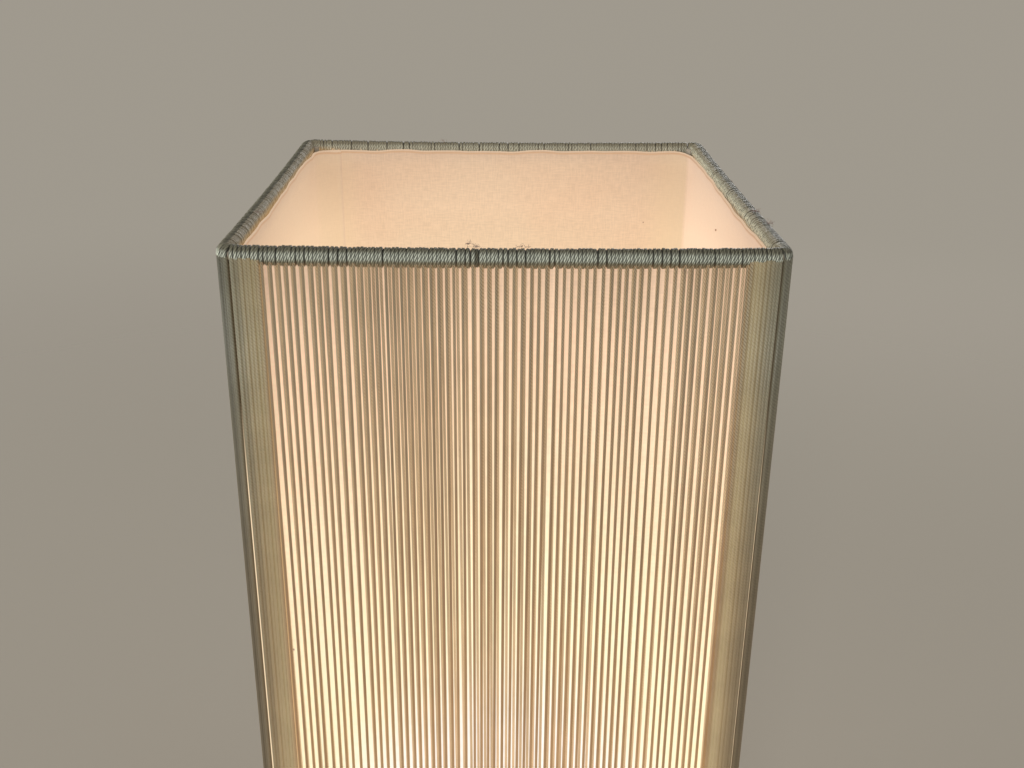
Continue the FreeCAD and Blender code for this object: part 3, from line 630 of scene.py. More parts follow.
def cordMaterial():
    look, top, bottom = cordLook, lamp["topRing"], lamp["bottomRing"]
    t = newMaterial("greyGreenCord", Roughness=0.40, Specular_IOR_Level=0.42, Emission_Strength=1.0)
    mapped = t.put("ShaderNodeUVMap", uv_map="cordMap")
    shade, layer = (t.put("ShaderNodeAttribute", attribute_name=name)["Fac"] for name in ("shade", "layer"))
    strand, inner = t.remap(layer, 0.0, 1.0), t.remap(layer, 1.0, 2.0)
    place, normal = t.where()
    plies = t.use(groups["plyTwist"], {"Map": mapped, "Start": shade * 7.0,
                                       "Plies": t.remap(strand, 0.0, 1.0, look["turnPlies"], look["strandPlies"])})
    fibres, patches = t.noise(place, 2600.0, 3.0), t.noise(place, 70.0, 2.0)
    across, depth, height = t.apart(place)
    onSide = abs(across) > abs(depth)
    axis = t.together(across.do("SIGN") * onSide, depth.do("SIGN") * (1.0 - onSide))
    outwards = t.vector("DOT_PRODUCT", normal, axis)[1]
    # Painted highlight: the face of a ring is painted pale on its yarns, where front light glints, and its grooves
    # darker, but not on the slipped turn
    off, offFoot = (abs(height - (ring + look["rubbedFrom"])) for ring in (top, bottom))
    rubbed = t.remap(off.do("MINIMUM", offFoot), 0.0022, 0.0006, smooth=True)
    rubbed = rubbed * t.remap(outwards, -0.2, 0.3, 0.90, 1.0) * t.remap(shade, -0.45, -0.05)
    # Painted light and shade: the turns along the sides are painted paler where they face left and darker, with less
    # highlight, where they face right
    leftRight = t.apart(normal)[0] * onSide
    rubbed = rubbed * t.remap(leftRight, 0.3, 0.9, 1.0, 0.45)
    left, right = look["faded"]
    faded = t.remap(leftRight, -0.7, 0.0, left, 1.0) * t.remap(leftRight, 0.0, 0.8, 1.0, right)
    wound = t.mix(plies["Open"], t.mix(rubbed, *look["groove"]), t.mix(rubbed, *look["yarn"]))
    # and a turn is painted darkest where it meets the next one, as shade in the crevice
    around = t.apart(mapped)[0] * math.tau + math.radians(30)
    wound = t.times(wound, t.remap(abs(around.do("SINE")), 0.5, 0.79, 1.0, 0.35) * faded)
    # Low on the lamp the strands are painted browner, as they look against the light, and painted darker round its
    # corners, as shade;
    # where they crowd beside a corner their plies are pressed flat
    lit = t.use(groups["lampGlow"], {"Place": place, "Spread": 0.4 * glow["spread"]})
    near, part, dense = lit["Near"], lit["Part"], lit["Dense"]
    pressed = t.remap(near, *glow["dense"][:2]) * (strand * look["pressed"])
    crest = (look["pressed"] - plies["Open"]) * pressed + plies["Open"]
    straight = t.times(t.mix(crest, *look["strand"]), t.mix(t.remap(part, 0.95, 0.66), (1, 1, 1), look["brown"]))
    straight = t.times(straight, t.remap(near, 0.0942, 0.0975, 1.0, look["corner"]))
    tone = (shade * 0.22 + 0.86) * t.remap(fibres, 0.2, 0.8, 0.82, 1.16) * t.remap(patches, 0.3, 0.7, 0.93, 1.06)
    base = t.times(t.mix(strand, wound, straight), tone)
    # Painted light: the lamp's light through the cords is painted as emission, a little in the outer strands, more in
    # the inner ones
    rim = t.put("ShaderNodeLayerWeight", {"Blend": 0.4})["Facing"] * t.remap(near, 0.0838, 0.0850, 1.0, 0.0)
    outerLight = t.mix(dense, t.mix(rim, lit["Strand"], look["rim"]),
                       t.mix(t.remap(part, 0.95, 0.45), *look["crowd"]))
    through = lit["Through"] * t.remap(near, 0.0852, 0.0866, 1.0, 0.15)
    light = t.mix(inner, outerLight, t.times(t.mix(dense, *look["inner"]), through))
    # and the turns are painted with a little of it on the side towards the strands
    caught, caughtFoot = (t.remap(height, ring + side * 0.0010, ring + side * 0.0033, 0.0, 0.20)
                          for ring, side in ((top, -1), (bottom, 1)))
    light = t.mix(strand, t.mix(caught.do("MINIMUM", caughtFoot), (0, 0, 0), look["caught"]), light)
    light = t.times(light, tone * t.remap(crest, 0.0, 1.0, 0.68, 1.16) * lit["Corner"])
    # The backs of the strands, seen through the slit at a corner, are painted lit low down and dark above
    inwards = outwards < -0.25
    behind = inwards * layer.do("COMPARE", 1.0, 0.1)
    atSlit = t.remap(near, 0.0780, 0.0795) * t.remap(near, 0.0935, 0.0915)
    low = t.remap(height, 0.395, 0.435, 1.0, 0.0) * (behind * atSlit)
    light = t.mix(low, t.mix(behind, light, look["back"]), look["slit"])
    # and the rings' inner sides are painted with light from the bright cloth they face, most golden on the left
    golden = t.remap(across, -0.09, -0.08, 1.0, 0.0) * t.remap(height, top + 0.0012, top - 0.0010)
    light = t.mix(inwards * (layer < 0.5), light, t.mix(golden, *look["facing"]), "ADD")
    relief = fibres * 0.18 + plies["Crown"] * (1.0 - pressed)
    return t.feed(Base_Color=base, Emission_Color=light, Normal=t.bump(relief, 0.0004))


def makeCords():
    material, inputs = cordMaterial(), cordInputs()
    tree = cordSideTree(material, inputs)
    for quarter, side in enumerate(("front", "right", "back", "left")):
        mesh = grow(side + "_cords", tree, {**inputs, "Quarter": quarter * math.pi / 2})
        addPiece(side + "_cords", mesh, material, "shade", "cord", "winding_" + side, smooth=None)


# Liner: one sheet of laminated cloth rolled square, glued where it overlaps behind on the left

liner = {
    "thick": 0.00045,
    "corner": 0.010,        # outer radius at the lamp's corners
    "overlap": 0.024,
    "overlapAt": 0.0052,    # before the back left corner
    "rows": 60,
    "step": 0.0032,         # between its stations along a side
    "wave": 0.0014,         # unevenness of the top edge: turns of each wave, start and share
    "waves": ((3, 0.4, 0.24), (7, 2.1, 0.28), (13, 4.0, 0.20), (22, 1.2, 0.26), (33, 2.6, 0.26), (67, 3.3, 0.08)),
    "around": 8 * (linerHigh.x - 0.010) + math.tau * 0.010,
    "thread": 0.00055,
    "slubs": ((220.0, 1400.0, 0.0), (1500.0, 200.0, 0.0)),      # noise scales, for the threads each way
    "lapRise": 0.004,                                           # the sheet steps in over this length
    "lean": (0.00035, 0.012), "ripple": 0.00012,                # of the cut edge, within this height
    "cloud": ((1.0, 0.965, 0.95), (1.0, 1.0, 1.0)),
    "base": (0.30, 0.235, 0.165),
    # Tints of the painted glow: the inner walls, the corner creases, the overlap and the cut edge
    "right": (1.27, 1.27, 1.33), "left": (1.05, 1.04, 1.01), "crease": (1.035, 1.055, 0.99),
    "lap": (1.02, 1.03, 0.975), "lapEnd": (0.97, 0.955, 0.945),
    "underEdge": (0.93, 0.74, 0.58), "edge": (1.12, 1.15, 1.12),
}


def linerPath():
    # Stations of the sheet from its outer edge, once round and over itself: place, outward and length so far.
    half, corner, around = linerHigh.x, liner["corner"], liner["around"]
    straight = 2 * (half - corner)

    def at(length):
        # Place on a rounded square by length, from the middle of the left side towards the back.
        side, rest = divmod(length % around + straight / 2, straight + corner * math.pi / 2)
        if rest < straight:
            local, outward = Vector((half, rest - straight / 2, 0)), Vector((1, 0, 0))
        else:
            angle = (rest - straight) / corner
            outward = Vector((math.cos(angle), math.sin(angle), 0))
            local = Vector((half - corner, straight / 2, 0)) + outward * corner
        turn = Matrix.Rotation(math.pi - side * math.pi / 2, 3, "Z") @ Matrix.Scale(-1, 3, (0, 1, 0))
        return turn @ local, turn @ outward
    total = around + liner["overlap"]
    count = round(total / liner["step"])
    path = []
    for index in range(count + 1):
        length = total * index / count
        place, outward = at(straight / 2 - liner["overlapAt"] + length)
        lap = max(0.0, min(1.0, (length - around + liner["lapRise"]) / liner["lapRise"]))
        path.append((place - outward * liner["thick"] * (0.5 + 1.25 * lap), outward, length))
    return path, total


def makeLiner():
    path, total = linerPath()
    low, high = linerLow.z, linerHigh.z
    lean, within = liner["lean"]
    shape = bmesh.new()
    uv = shape.loops.layers.uv.new("clothMap")
    edge = shape.loops.layers.uv.new("edgeMap")
    rows = []
    for place, outward, length in path:
        turn = math.tau * length / total
        wave = sum(size * math.sin(turns * turn + phase) for turns, phase, size in liner["waves"])
        top = high - liner["wave"] * (0.55 + 0.5 * wave)
        column = []
        for row in range(liner["rows"] + 1):
            part = row / liner["rows"]
            z = low + (top - low) * part
            # The cut edge leans in a little, and the cloth is never quite flat
            ease = lean * max(0.0, 1 - (top - z) / within) ** 2 * (1 + math.sin(5 * turn + 1.0))
            ripple = liner["ripple"] * math.sin(9 * turn + 14 * part) * math.sin(math.pi * part)
            column.append(shape.verts.new(place - outward * (ease + abs(ripple)) + Vector((0, 0, z))))
        rows.append((column, length))
    for (first, a), (second, b) in zip(rows, rows[1:]):
        for row in range(liner["rows"]):
            face = shape.faces.new((first[row], second[row], second[row + 1], first[row + 1]))
            face.smooth = True
            for loop, along, column in zip(face.loops, (a, b, b, a), (first, second, second, first)):
                loop[uv].uv = (along, loop.vert.co.z)
                loop[edge].uv = (column[-1].co.z - loop.vert.co.z, 0.0)
    shape.faces.ensure_lookup_table()
    if shape.faces[0].normal.dot(path[0][1]) < 0:
        bmesh.ops.reverse_faces(shape, faces=shape.faces)
    mesh = bpy.data.meshes.new("liner_cloth")
    shape.to_mesh(mesh)
    shape.free()
    piece = showMesh("liner_cloth", mesh, linerMaterial())
    solid = piece.modifiers.new("thickness", "SOLIDIFY")
    solid.thickness = liner["thick"]
    solid.offset = 0.0
    solid.use_even_offset = True
    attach(piece, "shade")
    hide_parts("liner")
    print("liner", len(mesh.polygons), "flat", round(total, 4), round(high - low, 4))


def linerMaterial():
    t = newMaterial("creamCloth", Roughness=0.85, Specular_IOR_Level=0.2, Sheen_Weight=0.1, Emission_Strength=1.0)
    mapped = t.put("ShaderNodeUVMap", uv_map="clothMap")
    place, normal = t.where()
    along, up, _z = t.apart(mapped)
    warp, weft = ((way * (math.tau / liner["thread"])).do("SINE") for way in (along, up))
    weave = warp * weft * 0.5 + 0.5
    slubs, slubsUp = (t.noise(t.vector("MULTIPLY", mapped, scales), 1.0, 3.0, flat=True)
                      for scales in liner["slubs"])
    threads, cloud = slubs + slubsUp, t.noise(place, 26.0, 2.0)
    tint = t.mix(t.remap(cloud, 0.35, 0.65), *liner["cloud"])
    tint = t.times(tint, t.remap(threads, 0.7, 1.3, 0.93, 1.05) * t.remap(weave, 0.0, 1.0, 0.98, 1.02))
    base = t.times(tint, liner["base"])
    outside = t.vector("DOT_PRODUCT", normal, t.vector("MULTIPLY", place, (1.0, 1.0, 0.0)))[1] > 0.0
    inside = 1.0 - outside
    lit = t.use(groups["lampGlow"], {"Place": place, "Spread": outside * glow["spread"]})
    # Painted glow: inside it is four fifths as bright; outside it is painted darker where crowded strands hide the
    # cloth
    level = (outside * (lit["Hidden"] - 1.0) + 1.0) * (outside * 0.20 + 0.80)
    # Painted light inside: each corner shows as a soft, brighter crease where the back wall meets a side wall, and the
    # side walls are painted brighter than the back, the right one most
    backWall = t.remap(abs(t.apart(normal)[1]), 0.35, 0.60)
    onSide = (1.0 - backWall) * inside
    across = t.apart(place)[0]
    # The glued overlap is painted with a little yellower glow, and a darker line at its edge
    lap, end = liner["around"], liner["around"] + liner["overlap"]
    # The glow of the cut edge is painted pale, above a thin warm, darker line
    below = t.apart(t.put("ShaderNodeUVMap", uv_map="edgeMap"))[0]
    for part, colour in (
            (t.remap(lit["Near"], 0.066, 0.086, smooth=True) * inside * backWall, "crease"),
            (onSide * t.remap(across, 0.06, 0.08), "right"),
            (onSide * t.remap(across, -0.06, -0.08), "left"),
            (t.remap(along, lap + 0.003, lap + 0.012) * inside, "lap"),
            (t.remap(along, end - 0.0012, end - 0.0003) * inside, "lapEnd"),
            (t.remap(below, 0.0005, 0.0008) * t.remap(below, 0.0012, 0.0018, 1.0, 0.0), "underEdge"),
            (t.remap(below, 0.0006, 0.0004), "edge")):
        tint = t.mix(part, tint, liner[colour])
    return t.feed(Base_Color=base, Emission_Color=t.times(t.times(tint, lit["Colour"]), level),
                  Normal=t.bump(threads + weave, 0.00006))


# Shapes of the hard pieces, in millimetres until they are finished

def finishShape(shape, name, turn=None):
    # Doubles merged, faces outward, millimetres to metres.
    bmesh.ops.remove_doubles(shape, verts=shape.verts, dist=1e-4)
    bmesh.ops.recalc_face_normals(shape, faces=shape.faces)
    shape.transform((turn or Matrix.Identity(4)) @ Matrix.Scale(0.001, 4))
    mesh = bpy.data.meshes.new(name)
    shape.to_mesh(mesh)
    shape.free()
    return mesh


def arcPoints(r, z, radius, start, end, steps):
    angles = (math.radians(start + (end - start) * step / steps) for step in range(steps + 1))
    return [(r + radius * math.cos(a), z + radius * math.sin(a)) for a in angles]


def eased(outline, radius, steps=3):
    # A closed outline with its corners rounded. Points on the axis stay.
    made = []
    for index, point in enumerate(outline):
        here = Vector(point)
        back, on = Vector(outline[index - 1]) - here, Vector(outline[(index + 1) % len(outline)]) - here
        if here.x < 1e-6 or back.angle(on) > math.radians(155):
            made.append(here)
            continue
        reach = min(radius, back.length * 0.45, on.length * 0.45)
        start, end = here + back.normalized() * reach, here + on.normalized() * reach
        for step in range(steps + 1):
            part = step / steps
            made.append(start * (1 - part) ** 2 + here * 2 * part * (1 - part) + end * part ** 2)
    return made


def divided(outline, step):
    made = []
    for index, point in enumerate(outline):
        here, on = Vector(point), Vector(outline[(index + 1) % len(outline)])
        count = max(1, math.ceil((on - here).length / step))
        made += [here.lerp(on, part / count) for part in range(count)]
    return made


def lathed(name, outline, sides=72, press=None, centre=(0.0, 0.0), turn=None):
    # A closed outline turned about Z. press(r, z, angle) gives the radius there.
    shape = bmesh.new()
    rows = []
    for r, z in outline:
        if r < 1e-6:
            rows.append([shape.verts.new((*centre, z))] * sides)
            continue
        angles = (math.tau * side / sides for side in range(sides))
        reach = [(press(r, z, a) if press else r, a) for a in angles]
        rows.append([shape.verts.new((centre[0] + d * math.cos(a), centre[1] + d * math.sin(a), z))
                     for d, a in reach])
    for low, high in zip([rows[-1]] + rows, rows):
        if low[0] is low[1] and high[0] is high[1]:
            continue
        for side in range(sides):
            after = (side + 1) % sides
            shape.faces.new(list(dict.fromkeys((low[side], low[after], high[after], high[side]))))
    return finishShape(shape, name, turn)


def turnedPiece(name, outline, material, body, finish, node, sides=72, ease=0.3, steps=3, step=3.0, smooth=32,
                **more):
    # A lathed piece. Its outline is eased at the corners and divided first.
    mesh = lathed(name, divided(eased(outline, ease, steps), step), sides, **more)
    addPiece(name, mesh, material, body, finish, node, smooth=smooth)


def screwPress(depth, pitch, low, high, within=0.0, fade=1.2):
    # A right-hand thread pressed into the rows from low to high, on radii above within.
    def press(r, z, angle):
        share = max(0.0, min(1.0, (z - low) / fade, (high - z) / fade)) if r > within else 0.0
        return r - depth * share * (1 - math.cos(math.tau * z / pitch - angle)) / 2
    return press


def roundedSquare(half, corner, steps=10):
    points = []
    for quarter in range(4):
        turn = Matrix.Rotation(quarter * math.pi / 2, 2)
        points += [turn @ Vector((half - corner + corner * math.cos(a), half - corner + corner * math.sin(a)))
                   for a in (math.pi / 2 * step / steps for step in range(steps + 1))]
    return points


def slab(name, half, corner, rows, wobble=0.0):
    # A square block with rounded corners. rows are (inset, z), from the foot up.
    shape = bmesh.new()
    made = []
    for inset, z in rows:
        made.append([])
        for index, point in enumerate(roundedSquare(half - inset, max(corner - inset, 0.5))):
            off = wobble * math.sin(2.4 * index + 1.7 * z)
            made[-1].append(shape.verts.new((*(point * (1 - abs(off) / half)), z)))
    for low, high in zip(made, made[1:]):
        for index in range(len(low)):
            after = (index + 1) % len(low)
            shape.faces.new((low[index], low[after], high[after], high[index]))
    shape.faces.new(made[0])
    shape.faces.new(made[-1])
    return finishShape(shape, name)


def cutAway(mesh, cutters):
    block = newObject("block", mesh)
    tools = []
    for cutter in cutters:
        tools.append(newObject("cutter", cutter))
        cut = block.modifiers.new("cut", "BOOLEAN")
        cut.operation, cut.solver, cut.object = "DIFFERENCE", "EXACT", tools[-1]
    made = evaluated(block, mesh.name)
    for tool in tools:
        bpy.data.objects.remove(tool)
    return made


def softened(name, node, width):
    # A merged copy of a CAD node with its edges rounded.
    shape = bmesh.new()
    shape.from_mesh(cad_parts[node].data)
    bmesh.ops.remove_doubles(shape, verts=shape.verts, dist=1e-6)
    bmesh.ops.dissolve_limit(shape, angle_limit=math.radians(1), verts=shape.verts, edges=shape.edges)
    sharp = [edge for edge in shape.edges if len(edge.link_faces) == 2 and edge.calc_face_angle() > 0.7]
    bmesh.ops.bevel(shape, geom=sharp, offset=width, segments=2, profile=0.5, affect="EDGES", clamp_overlap=True)
    shape.transform(Matrix.Scale(1000.0, 4))
    return finishShape(shape, name)


def rods(name, paths, radius, closed=False, fineness=3):
    # Round wire along each path of points, in metres.
    curve = bpy.data.curves.new(name, "CURVE")
    curve.dimensions = "3D"
    curve.bevel_depth = radius
    curve.bevel_resolution = fineness
    curve.use_fill_caps = True
    for path in paths:
        spline = curve.splines.new("POLY")
        spline.points.add(len(path) - 1)
        for point, place in zip(spline.points, path):
            point.co = (*place, 1.0)
        spline.use_cyclic_u = closed
    return evaluated(newObject(name, curve), name)


# Finishes of the hard pieces. Colours are light then dark; relief is in metres.

finishes = {
    "plasticBlack": dict(light=(0.062, 0.062, 0.064), dark=(0.040, 0.040, 0.042), rough=(0.42, 0.58), grain=2600,
                         relief=0.00006, dust=0.35, Specular_IOR_Level=0.45),
    "zincSteel": dict(light=(0.66, 0.66, 0.64), dark=(0.50, 0.51, 0.50), rough=(0.30, 0.48), grain=900,
                      relief=0.00002, lines=0.6, Metallic=1.0),
    "sleeveBrass": dict(light=(0.64, 0.50, 0.27), dark=(0.52, 0.39, 0.19), rough=(0.24, 0.36), grain=700,
                        relief=0.00002, lines=1.0, patch=45, dust=0.12, Metallic=1.0, Coat_Weight=0.3,
                        Coat_Roughness=0.2),
    "holderCream": dict(light=(0.84, 0.815, 0.745), dark=(0.78, 0.75, 0.67), rough=(0.26, 0.38), grain=1500,
                        relief=0.00002, patch=30, dust=0.25, Specular_IOR_Level=0.5),
    "porcelainGlaze": dict(light=(0.87, 0.86, 0.82), dark=(0.80, 0.785, 0.73), rough=(0.30, 0.42), grain=600,
                           relief=0.00003, patch=90, Coat_Weight=0.8, Coat_Roughness=0.06),
    "contactBrass": dict(light=(0.76, 0.60, 0.32), dark=(0.50, 0.35, 0.16), rough=(0.22, 0.42), grain=1400,
                         relief=0.00001, lines=0.5, patch=160, Metallic=1.0),
    "capAluminium": dict(light=(0.76, 0.76, 0.75), dark=(0.58, 0.58, 0.57), rough=(0.24, 0.44), grain=1200,
                         relief=0.00002, patch=140, lines=0.4, Metallic=1.0),
    "blackGlass": dict(light=(0.045, 0.045, 0.055), dark=(0.022, 0.022, 0.028), rough=(0.12, 0.24), grain=500,
                       relief=0.00004, patch=200, Specular_IOR_Level=0.6),
    "coatedWire": dict(light=(0.44, 0.39, 0.31), dark=(0.33, 0.285, 0.215), rough=(0.38, 0.52), grain=1800,
                       relief=0.00003, patch=120, dust=0.2, Specular_IOR_Level=0.45),
}


dustColour = (0.50, 0.47, 0.42)


def patinaGroup():
    # Slow patches, fine grain, and dust where a surface faces up.
    t, given = newTree("patina", "ShaderNodeTree",
                       {"Place": None, "Normal": None, "Patch Scale": 60.0, "Grain Scale": 1500.0},
                       {"Patches": "Float", "Grain": "Float", "Dust": "Float"})
    patches, grain, settled = (t.noise(given["Place"], scale, detail) for scale, detail in (
        (given["Patch Scale"], 3.0), (given["Grain Scale"], 2.0), (240.0, 5.0)))
    up = t.remap(t.apart(given["Normal"])[2], 0.25, 0.95, smooth=True)
    return t.finish(patches, grain, up * t.remap(settled, 0.42, 0.66))


def latheMarksGroup():
    # Fine rings round Z, as turning or spinning leaves them.
    t, given = newTree("latheMarks", "ShaderNodeTree", {"Place": None, "Fineness": 5200.0}, {"Lines": "Float"})
    x, y, z = t.apart(given["Place"])
    rings = t.vector("SCALE", t.together((x * x + y * y).do("SQRT"), z), Scale=given["Fineness"])
    return t.finish(t.noise(rings, 1.0, 2.0, flat=True))


def hardFinish(name):
    if name in bpy.data.materials:
        return bpy.data.materials[name]
    facts = {"patch": 60, "dust": 0.0, "lines": 0.0, **finishes[name]}
    light, dark, rough, relief, grain, patch, dust, lines = (
        facts.pop(key) for key in ("light", "dark", "rough", "relief", "grain", "patch", "dust", "lines"))
    t = newMaterial(name, **facts)
    place, normal = t.where()
    aged = t.use(groups["patina"], {"Place": place, "Normal": normal, "Patch Scale": float(patch),
                                    "Grain Scale": float(grain)})
    patches, height = aged["Patches"], aged["Grain"]
    colour = t.mix(t.remap(height * 0.3 + patches * 0.7, 0.36, 0.62), dark, light)
    if dust:
        colour = t.mix(aged["Dust"] * dust, colour, dustColour)
    if lines:
        height = t.use(groups["latheMarks"], {"Place": place}) * lines + height * 0.4
    return t.feed(Base_Color=colour, Roughness=t.remap(patches, 0.3, 0.7, *rough), Normal=t.bump(height, relief))


# Plinth: an oiled wooden block on a felt pad, with four holes for the shade's pegs

plinth = {
    "half": 100.0, "corner": 7.42, "foot": 2.0, "top": 20.0,
    "topEdge": 1.3, "footEdge": 0.5,
    "peg": (2.1, 14.0), "pegPlace": 92.72,
    "tubeHole": 5.25, "pocket": (18.0, 12.0),
    "channel": (4.5, 9.0, 86.0, 13.6),              # half width, start, end and ceiling
    "countersink": (0.35, 0.10),                    # of the peg holes, below the top and past it
    "gland": [(0, -16), (5.0, -16), (5.0, -2), (6.55, -2), (6.55, 1), (0, 1)],
    "pith": (0.021, -0.070), "ringWidth": 0.0024,   # growth rings, in metres
    "grain": ((5, 16, 2.0), (45, 1500, 4.0), (170, 3400, 2.0), (14, 30, 2.0)),      # along X, across, detail
    "light": (0.42, 0.265, 0.138), "dark": (0.265, 0.148, 0.068), "pore": (0.12, 0.062, 0.027),
    "rubbed": (0.55, 0.37, 0.21),                   # edges, by hands
}
felt = {
    "half": 96.0, "corner": 5.4, "thick": 2.0, "edge": 0.5, "wobble": 0.16,
    "colours": ((0.085, 0.085, 0.078), (0.125, 0.122, 0.110)),
    "hairs": (1500.0, 3.0, 3.0), "tufts": (330.0, 3.0, 1.0), "worn": (28.0, 2.0),   # scale, detail, distortion
}


def quarterRound(foot, top, low, high):
    # Rows up a slab whose foot and top edges are rounded.
    arc = [math.pi / 2 * step / 5 for step in range(6)]
    return ([(foot * (1 - math.sin(a)), low + foot * (1 - math.cos(a))) for a in arc]
            + [(top * (1 - math.cos(a)), high - top * (1 - math.sin(a))) for a in arc])


def makePlinth():
    top, below, above = plinth["top"], 1, plinth["top"] + 2
    block = slab("plinth", plinth["half"], plinth["corner"],
                 quarterRound(plinth["footEdge"], plinth["topEdge"], plinth["foot"], top))
    (radius, depth), (sink, past) = plinth["peg"], plinth["countersink"]
    wide = radius + sink + past
    hole = [(0, depth), (radius, depth), (radius, top - sink), (wide, top + past), (wide, above), (0, above)]
    cutters = [lathed("pegHole", hole, 32, centre=(sx * plinth["pegPlace"], sy * plinth["pegPlace"]))
               for sx in (-1, 1) for sy in (-1, 1)]
    for size, high in ((plinth["tubeHole"], above), plinth["pocket"]):
        cutters.append(lathed("bore", [(0, below), (size, below), (size, high), (0, high)], 48))
    cutters.append(lathed("glandHole", plinth["gland"], 48, turn=fitting["glandTurn"]))
    wide, start, end, ceiling = plinth["channel"]
    groove = bmesh.new()
    bmesh.ops.create_cube(groove, size=1.0, matrix=Matrix.Translation((0, (start + end) / 2, (below + ceiling) / 2))
                          @ Matrix.Diagonal((2 * wide, end - start, ceiling - below, 1)))
    cutters.append(finishShape(groove, "channel"))
    addPiece("plinth", cutAway(block, cutters), woodMaterial(), "base", "plinth_wood", "base_block", smooth=28)

    rows = quarterRound(felt["edge"], felt["edge"], 0, felt["thick"])
    pad = addPiece("felt_pad", slab("felt_pad", felt["half"], felt["corner"], rows, felt["wobble"]), feltMaterial(),
                   "base", "felt", "base_felt_pad", smooth=60)
    2 * felt["half"] / 1000
    2 * felt["half"] / 1000


def woodMaterial():
    # Growth rings round a pith below the block, along X, so the ends show arcs and the top long lines.
    t = newMaterial("oiledWood", Specular_IOR_Level=0.4, Coat_Weight=0.10, Coat_Roughness=0.35)
    place = t.where()[0]
    x, y, z = t.apart(place)
    sway, fibres, pores, patches = (
        t.noise(t.vector("MULTIPLY", place, (along, across, across)), 1.0, detail)
        for along, across, detail in plinth["grain"])
    across = y + (sway * 0.030 + plinth["pith"][0])
    under = x * 0.10 + (z - plinth["pith"][1])
    r = (across * across + under * under).do("SQRT")
    ring = (fibres * 0.16 + r / plinth["ringWidth"]).do("FRACT")
    late = t.remap(ring, 0.35, 0.93, smooth=True) * t.remap(ring, 0.95, 1.0, 1.0, 0.0)
    colour = t.mix(late * 0.75, plinth["light"], plinth["dark"])
    colour = t.times(colour, t.remap(fibres, 0.3, 0.7, 0.84, 1.12) * t.remap(patches, 0.3, 0.7, 0.90, 1.08))
    pore = t.remap(pores, 0.40, 0.33) * t.remap(ring, 0.75, 0.25, 0.25, 1.0)
    colour = t.mix(pore, colour, plinth["pore"])
    edge = t.remap(abs(x).do("MAXIMUM", abs(y)), 0.0975, 0.0992) * t.remap(z, 0.0178, 0.0192)
    colour = t.mix(edge * t.remap(patches, 0.35, 0.65, 0.1, 0.5), colour, plinth["rubbed"])
    rough = t.remap(late, 0.0, 1.0, 0.50, 0.40) + t.remap(fibres, 0.3, 0.7, -0.05, 0.06)
    return t.feed(Base_Color=colour, Roughness=rough, Normal=t.bump(fibres * 0.35 + late * 0.3 - pore, 0.00012))


def feltMaterial():
    t = newMaterial("pressedFelt", Roughness=0.95, Specular_IOR_Level=0.15, Sheen_Weight=0.5, Sheen_Roughness=0.5)
    place = t.where()[0]
    hairs, tufts, worn = (t.noise(place, *felt[name]) for name in ("hairs", "tufts", "worn"))
    colour = t.mix(t.remap(worn, 0.35, 0.7), *felt["colours"])
    tone = t.remap(hairs, 0.3, 0.7, 0.55, 1.5) * t.remap(tufts, 0.3, 0.7, 0.75, 1.25)
    return t.feed(Base_Color=t.times(colour, tone), Normal=t.bump(tufts * 0.5 + hairs, 0.0005))


# Fittings on the base: cable gland, threaded tube with washer and nut, brass sleeve

fitting = {
    "gland": [(4.4, 0), (5.9, 0), (6.5, -0.6), (6.5, -2), (4.95, -2), (4.95, -16), (3.6, -16), (3.6, -0.8)],
    "glandTurn": Matrix.Translation((0, 0.1, 0.010)) @ Matrix.Rotation(-math.pi / 2, 4, "X"),
    "flutes": (36, 0.28, 6.3),                       # count, depth and the radius beyond which they are cut
    "tube": [(4, 5), (5, 5), (5, 54.5), (4, 54.5)],
    "tubeThread": (0.35, 1.0),                       # depth and pitch
    "washer": [(5.25, 10.5), (15, 10.5), (15, 12), (5.25, 12)],
    "nutFlat": 8.5, "nut": (6.5, 10.5), "nutBore": 5.05, "nutChamfer": 1.0,
    "sleeve": [(5.6, 20), (17, 20), (17, 21.5)] + arcPoints(17, 30.5, 9, 270, 180, 24)[1:] + [(8, 46), (5.6, 46)],
}


def makeFittings():
    steel = hardFinish("zincSteel")
    count, cut, beyond = fitting["flutes"]
    turnedPiece("cable_bush", fitting["gland"], hardFinish("plasticBlack"), "base", "dark_plastic", "cable_gland",
                144, step=2.0, smooth=40, turn=fitting["glandTurn"],
                press=lambda r, z, a: r - (cut * (0.5 + 0.5 * math.cos(count * a)) if r > beyond else 0.0))
    depth, pitch = fitting["tubeThread"]
    turnedPiece("lamp_tube", fitting["tube"], steel, "base", "steel", "threaded_tube", 36, ease=0.2, steps=1,
                step=pitch / 6, smooth=60, press=screwPress(depth, pitch, 5.3, 54.2, within=4.5, fade=0.6))
    turnedPiece("tube_washer", fitting["washer"], steel, "base", "steel", "lower_washer", step=2.5)

    low, high = fitting["nut"]
    flat, bore = fitting["nutFlat"], fitting["nutBore"]

    def hexagon(r, z, angle):
        if r < flat - 0.1:
            return r
        edge = flat / math.cos((angle % (math.pi / 3)) - math.pi / 6)
        return min(edge, flat + 1.6 * (z - low) / fitting["nutChamfer"] + 0.05)
    turnedPiece("tube_nut", [(bore, low), (flat, low), (flat, high), (bore, high)], steel, "base", "steel",
                "lower_nut", 96, ease=0.15, steps=1, step=0.25, smooth=25, press=hexagon)
    turnedPiece("brass_sleeve", fitting["sleeve"], hardFinish("sleeveBrass"), "base", "sleeve_metal", "tube_sleeve",
                96, ease=0.5, step=4.0)
    addPiece("locking_screw", softened("locking_screw", "grub_screw", 0.00008), steel, "base", "steel", "grub_screw")


# Lampholder: moulded dome and ribbed barrel, porcelain inside, brass shell with the lamp thread

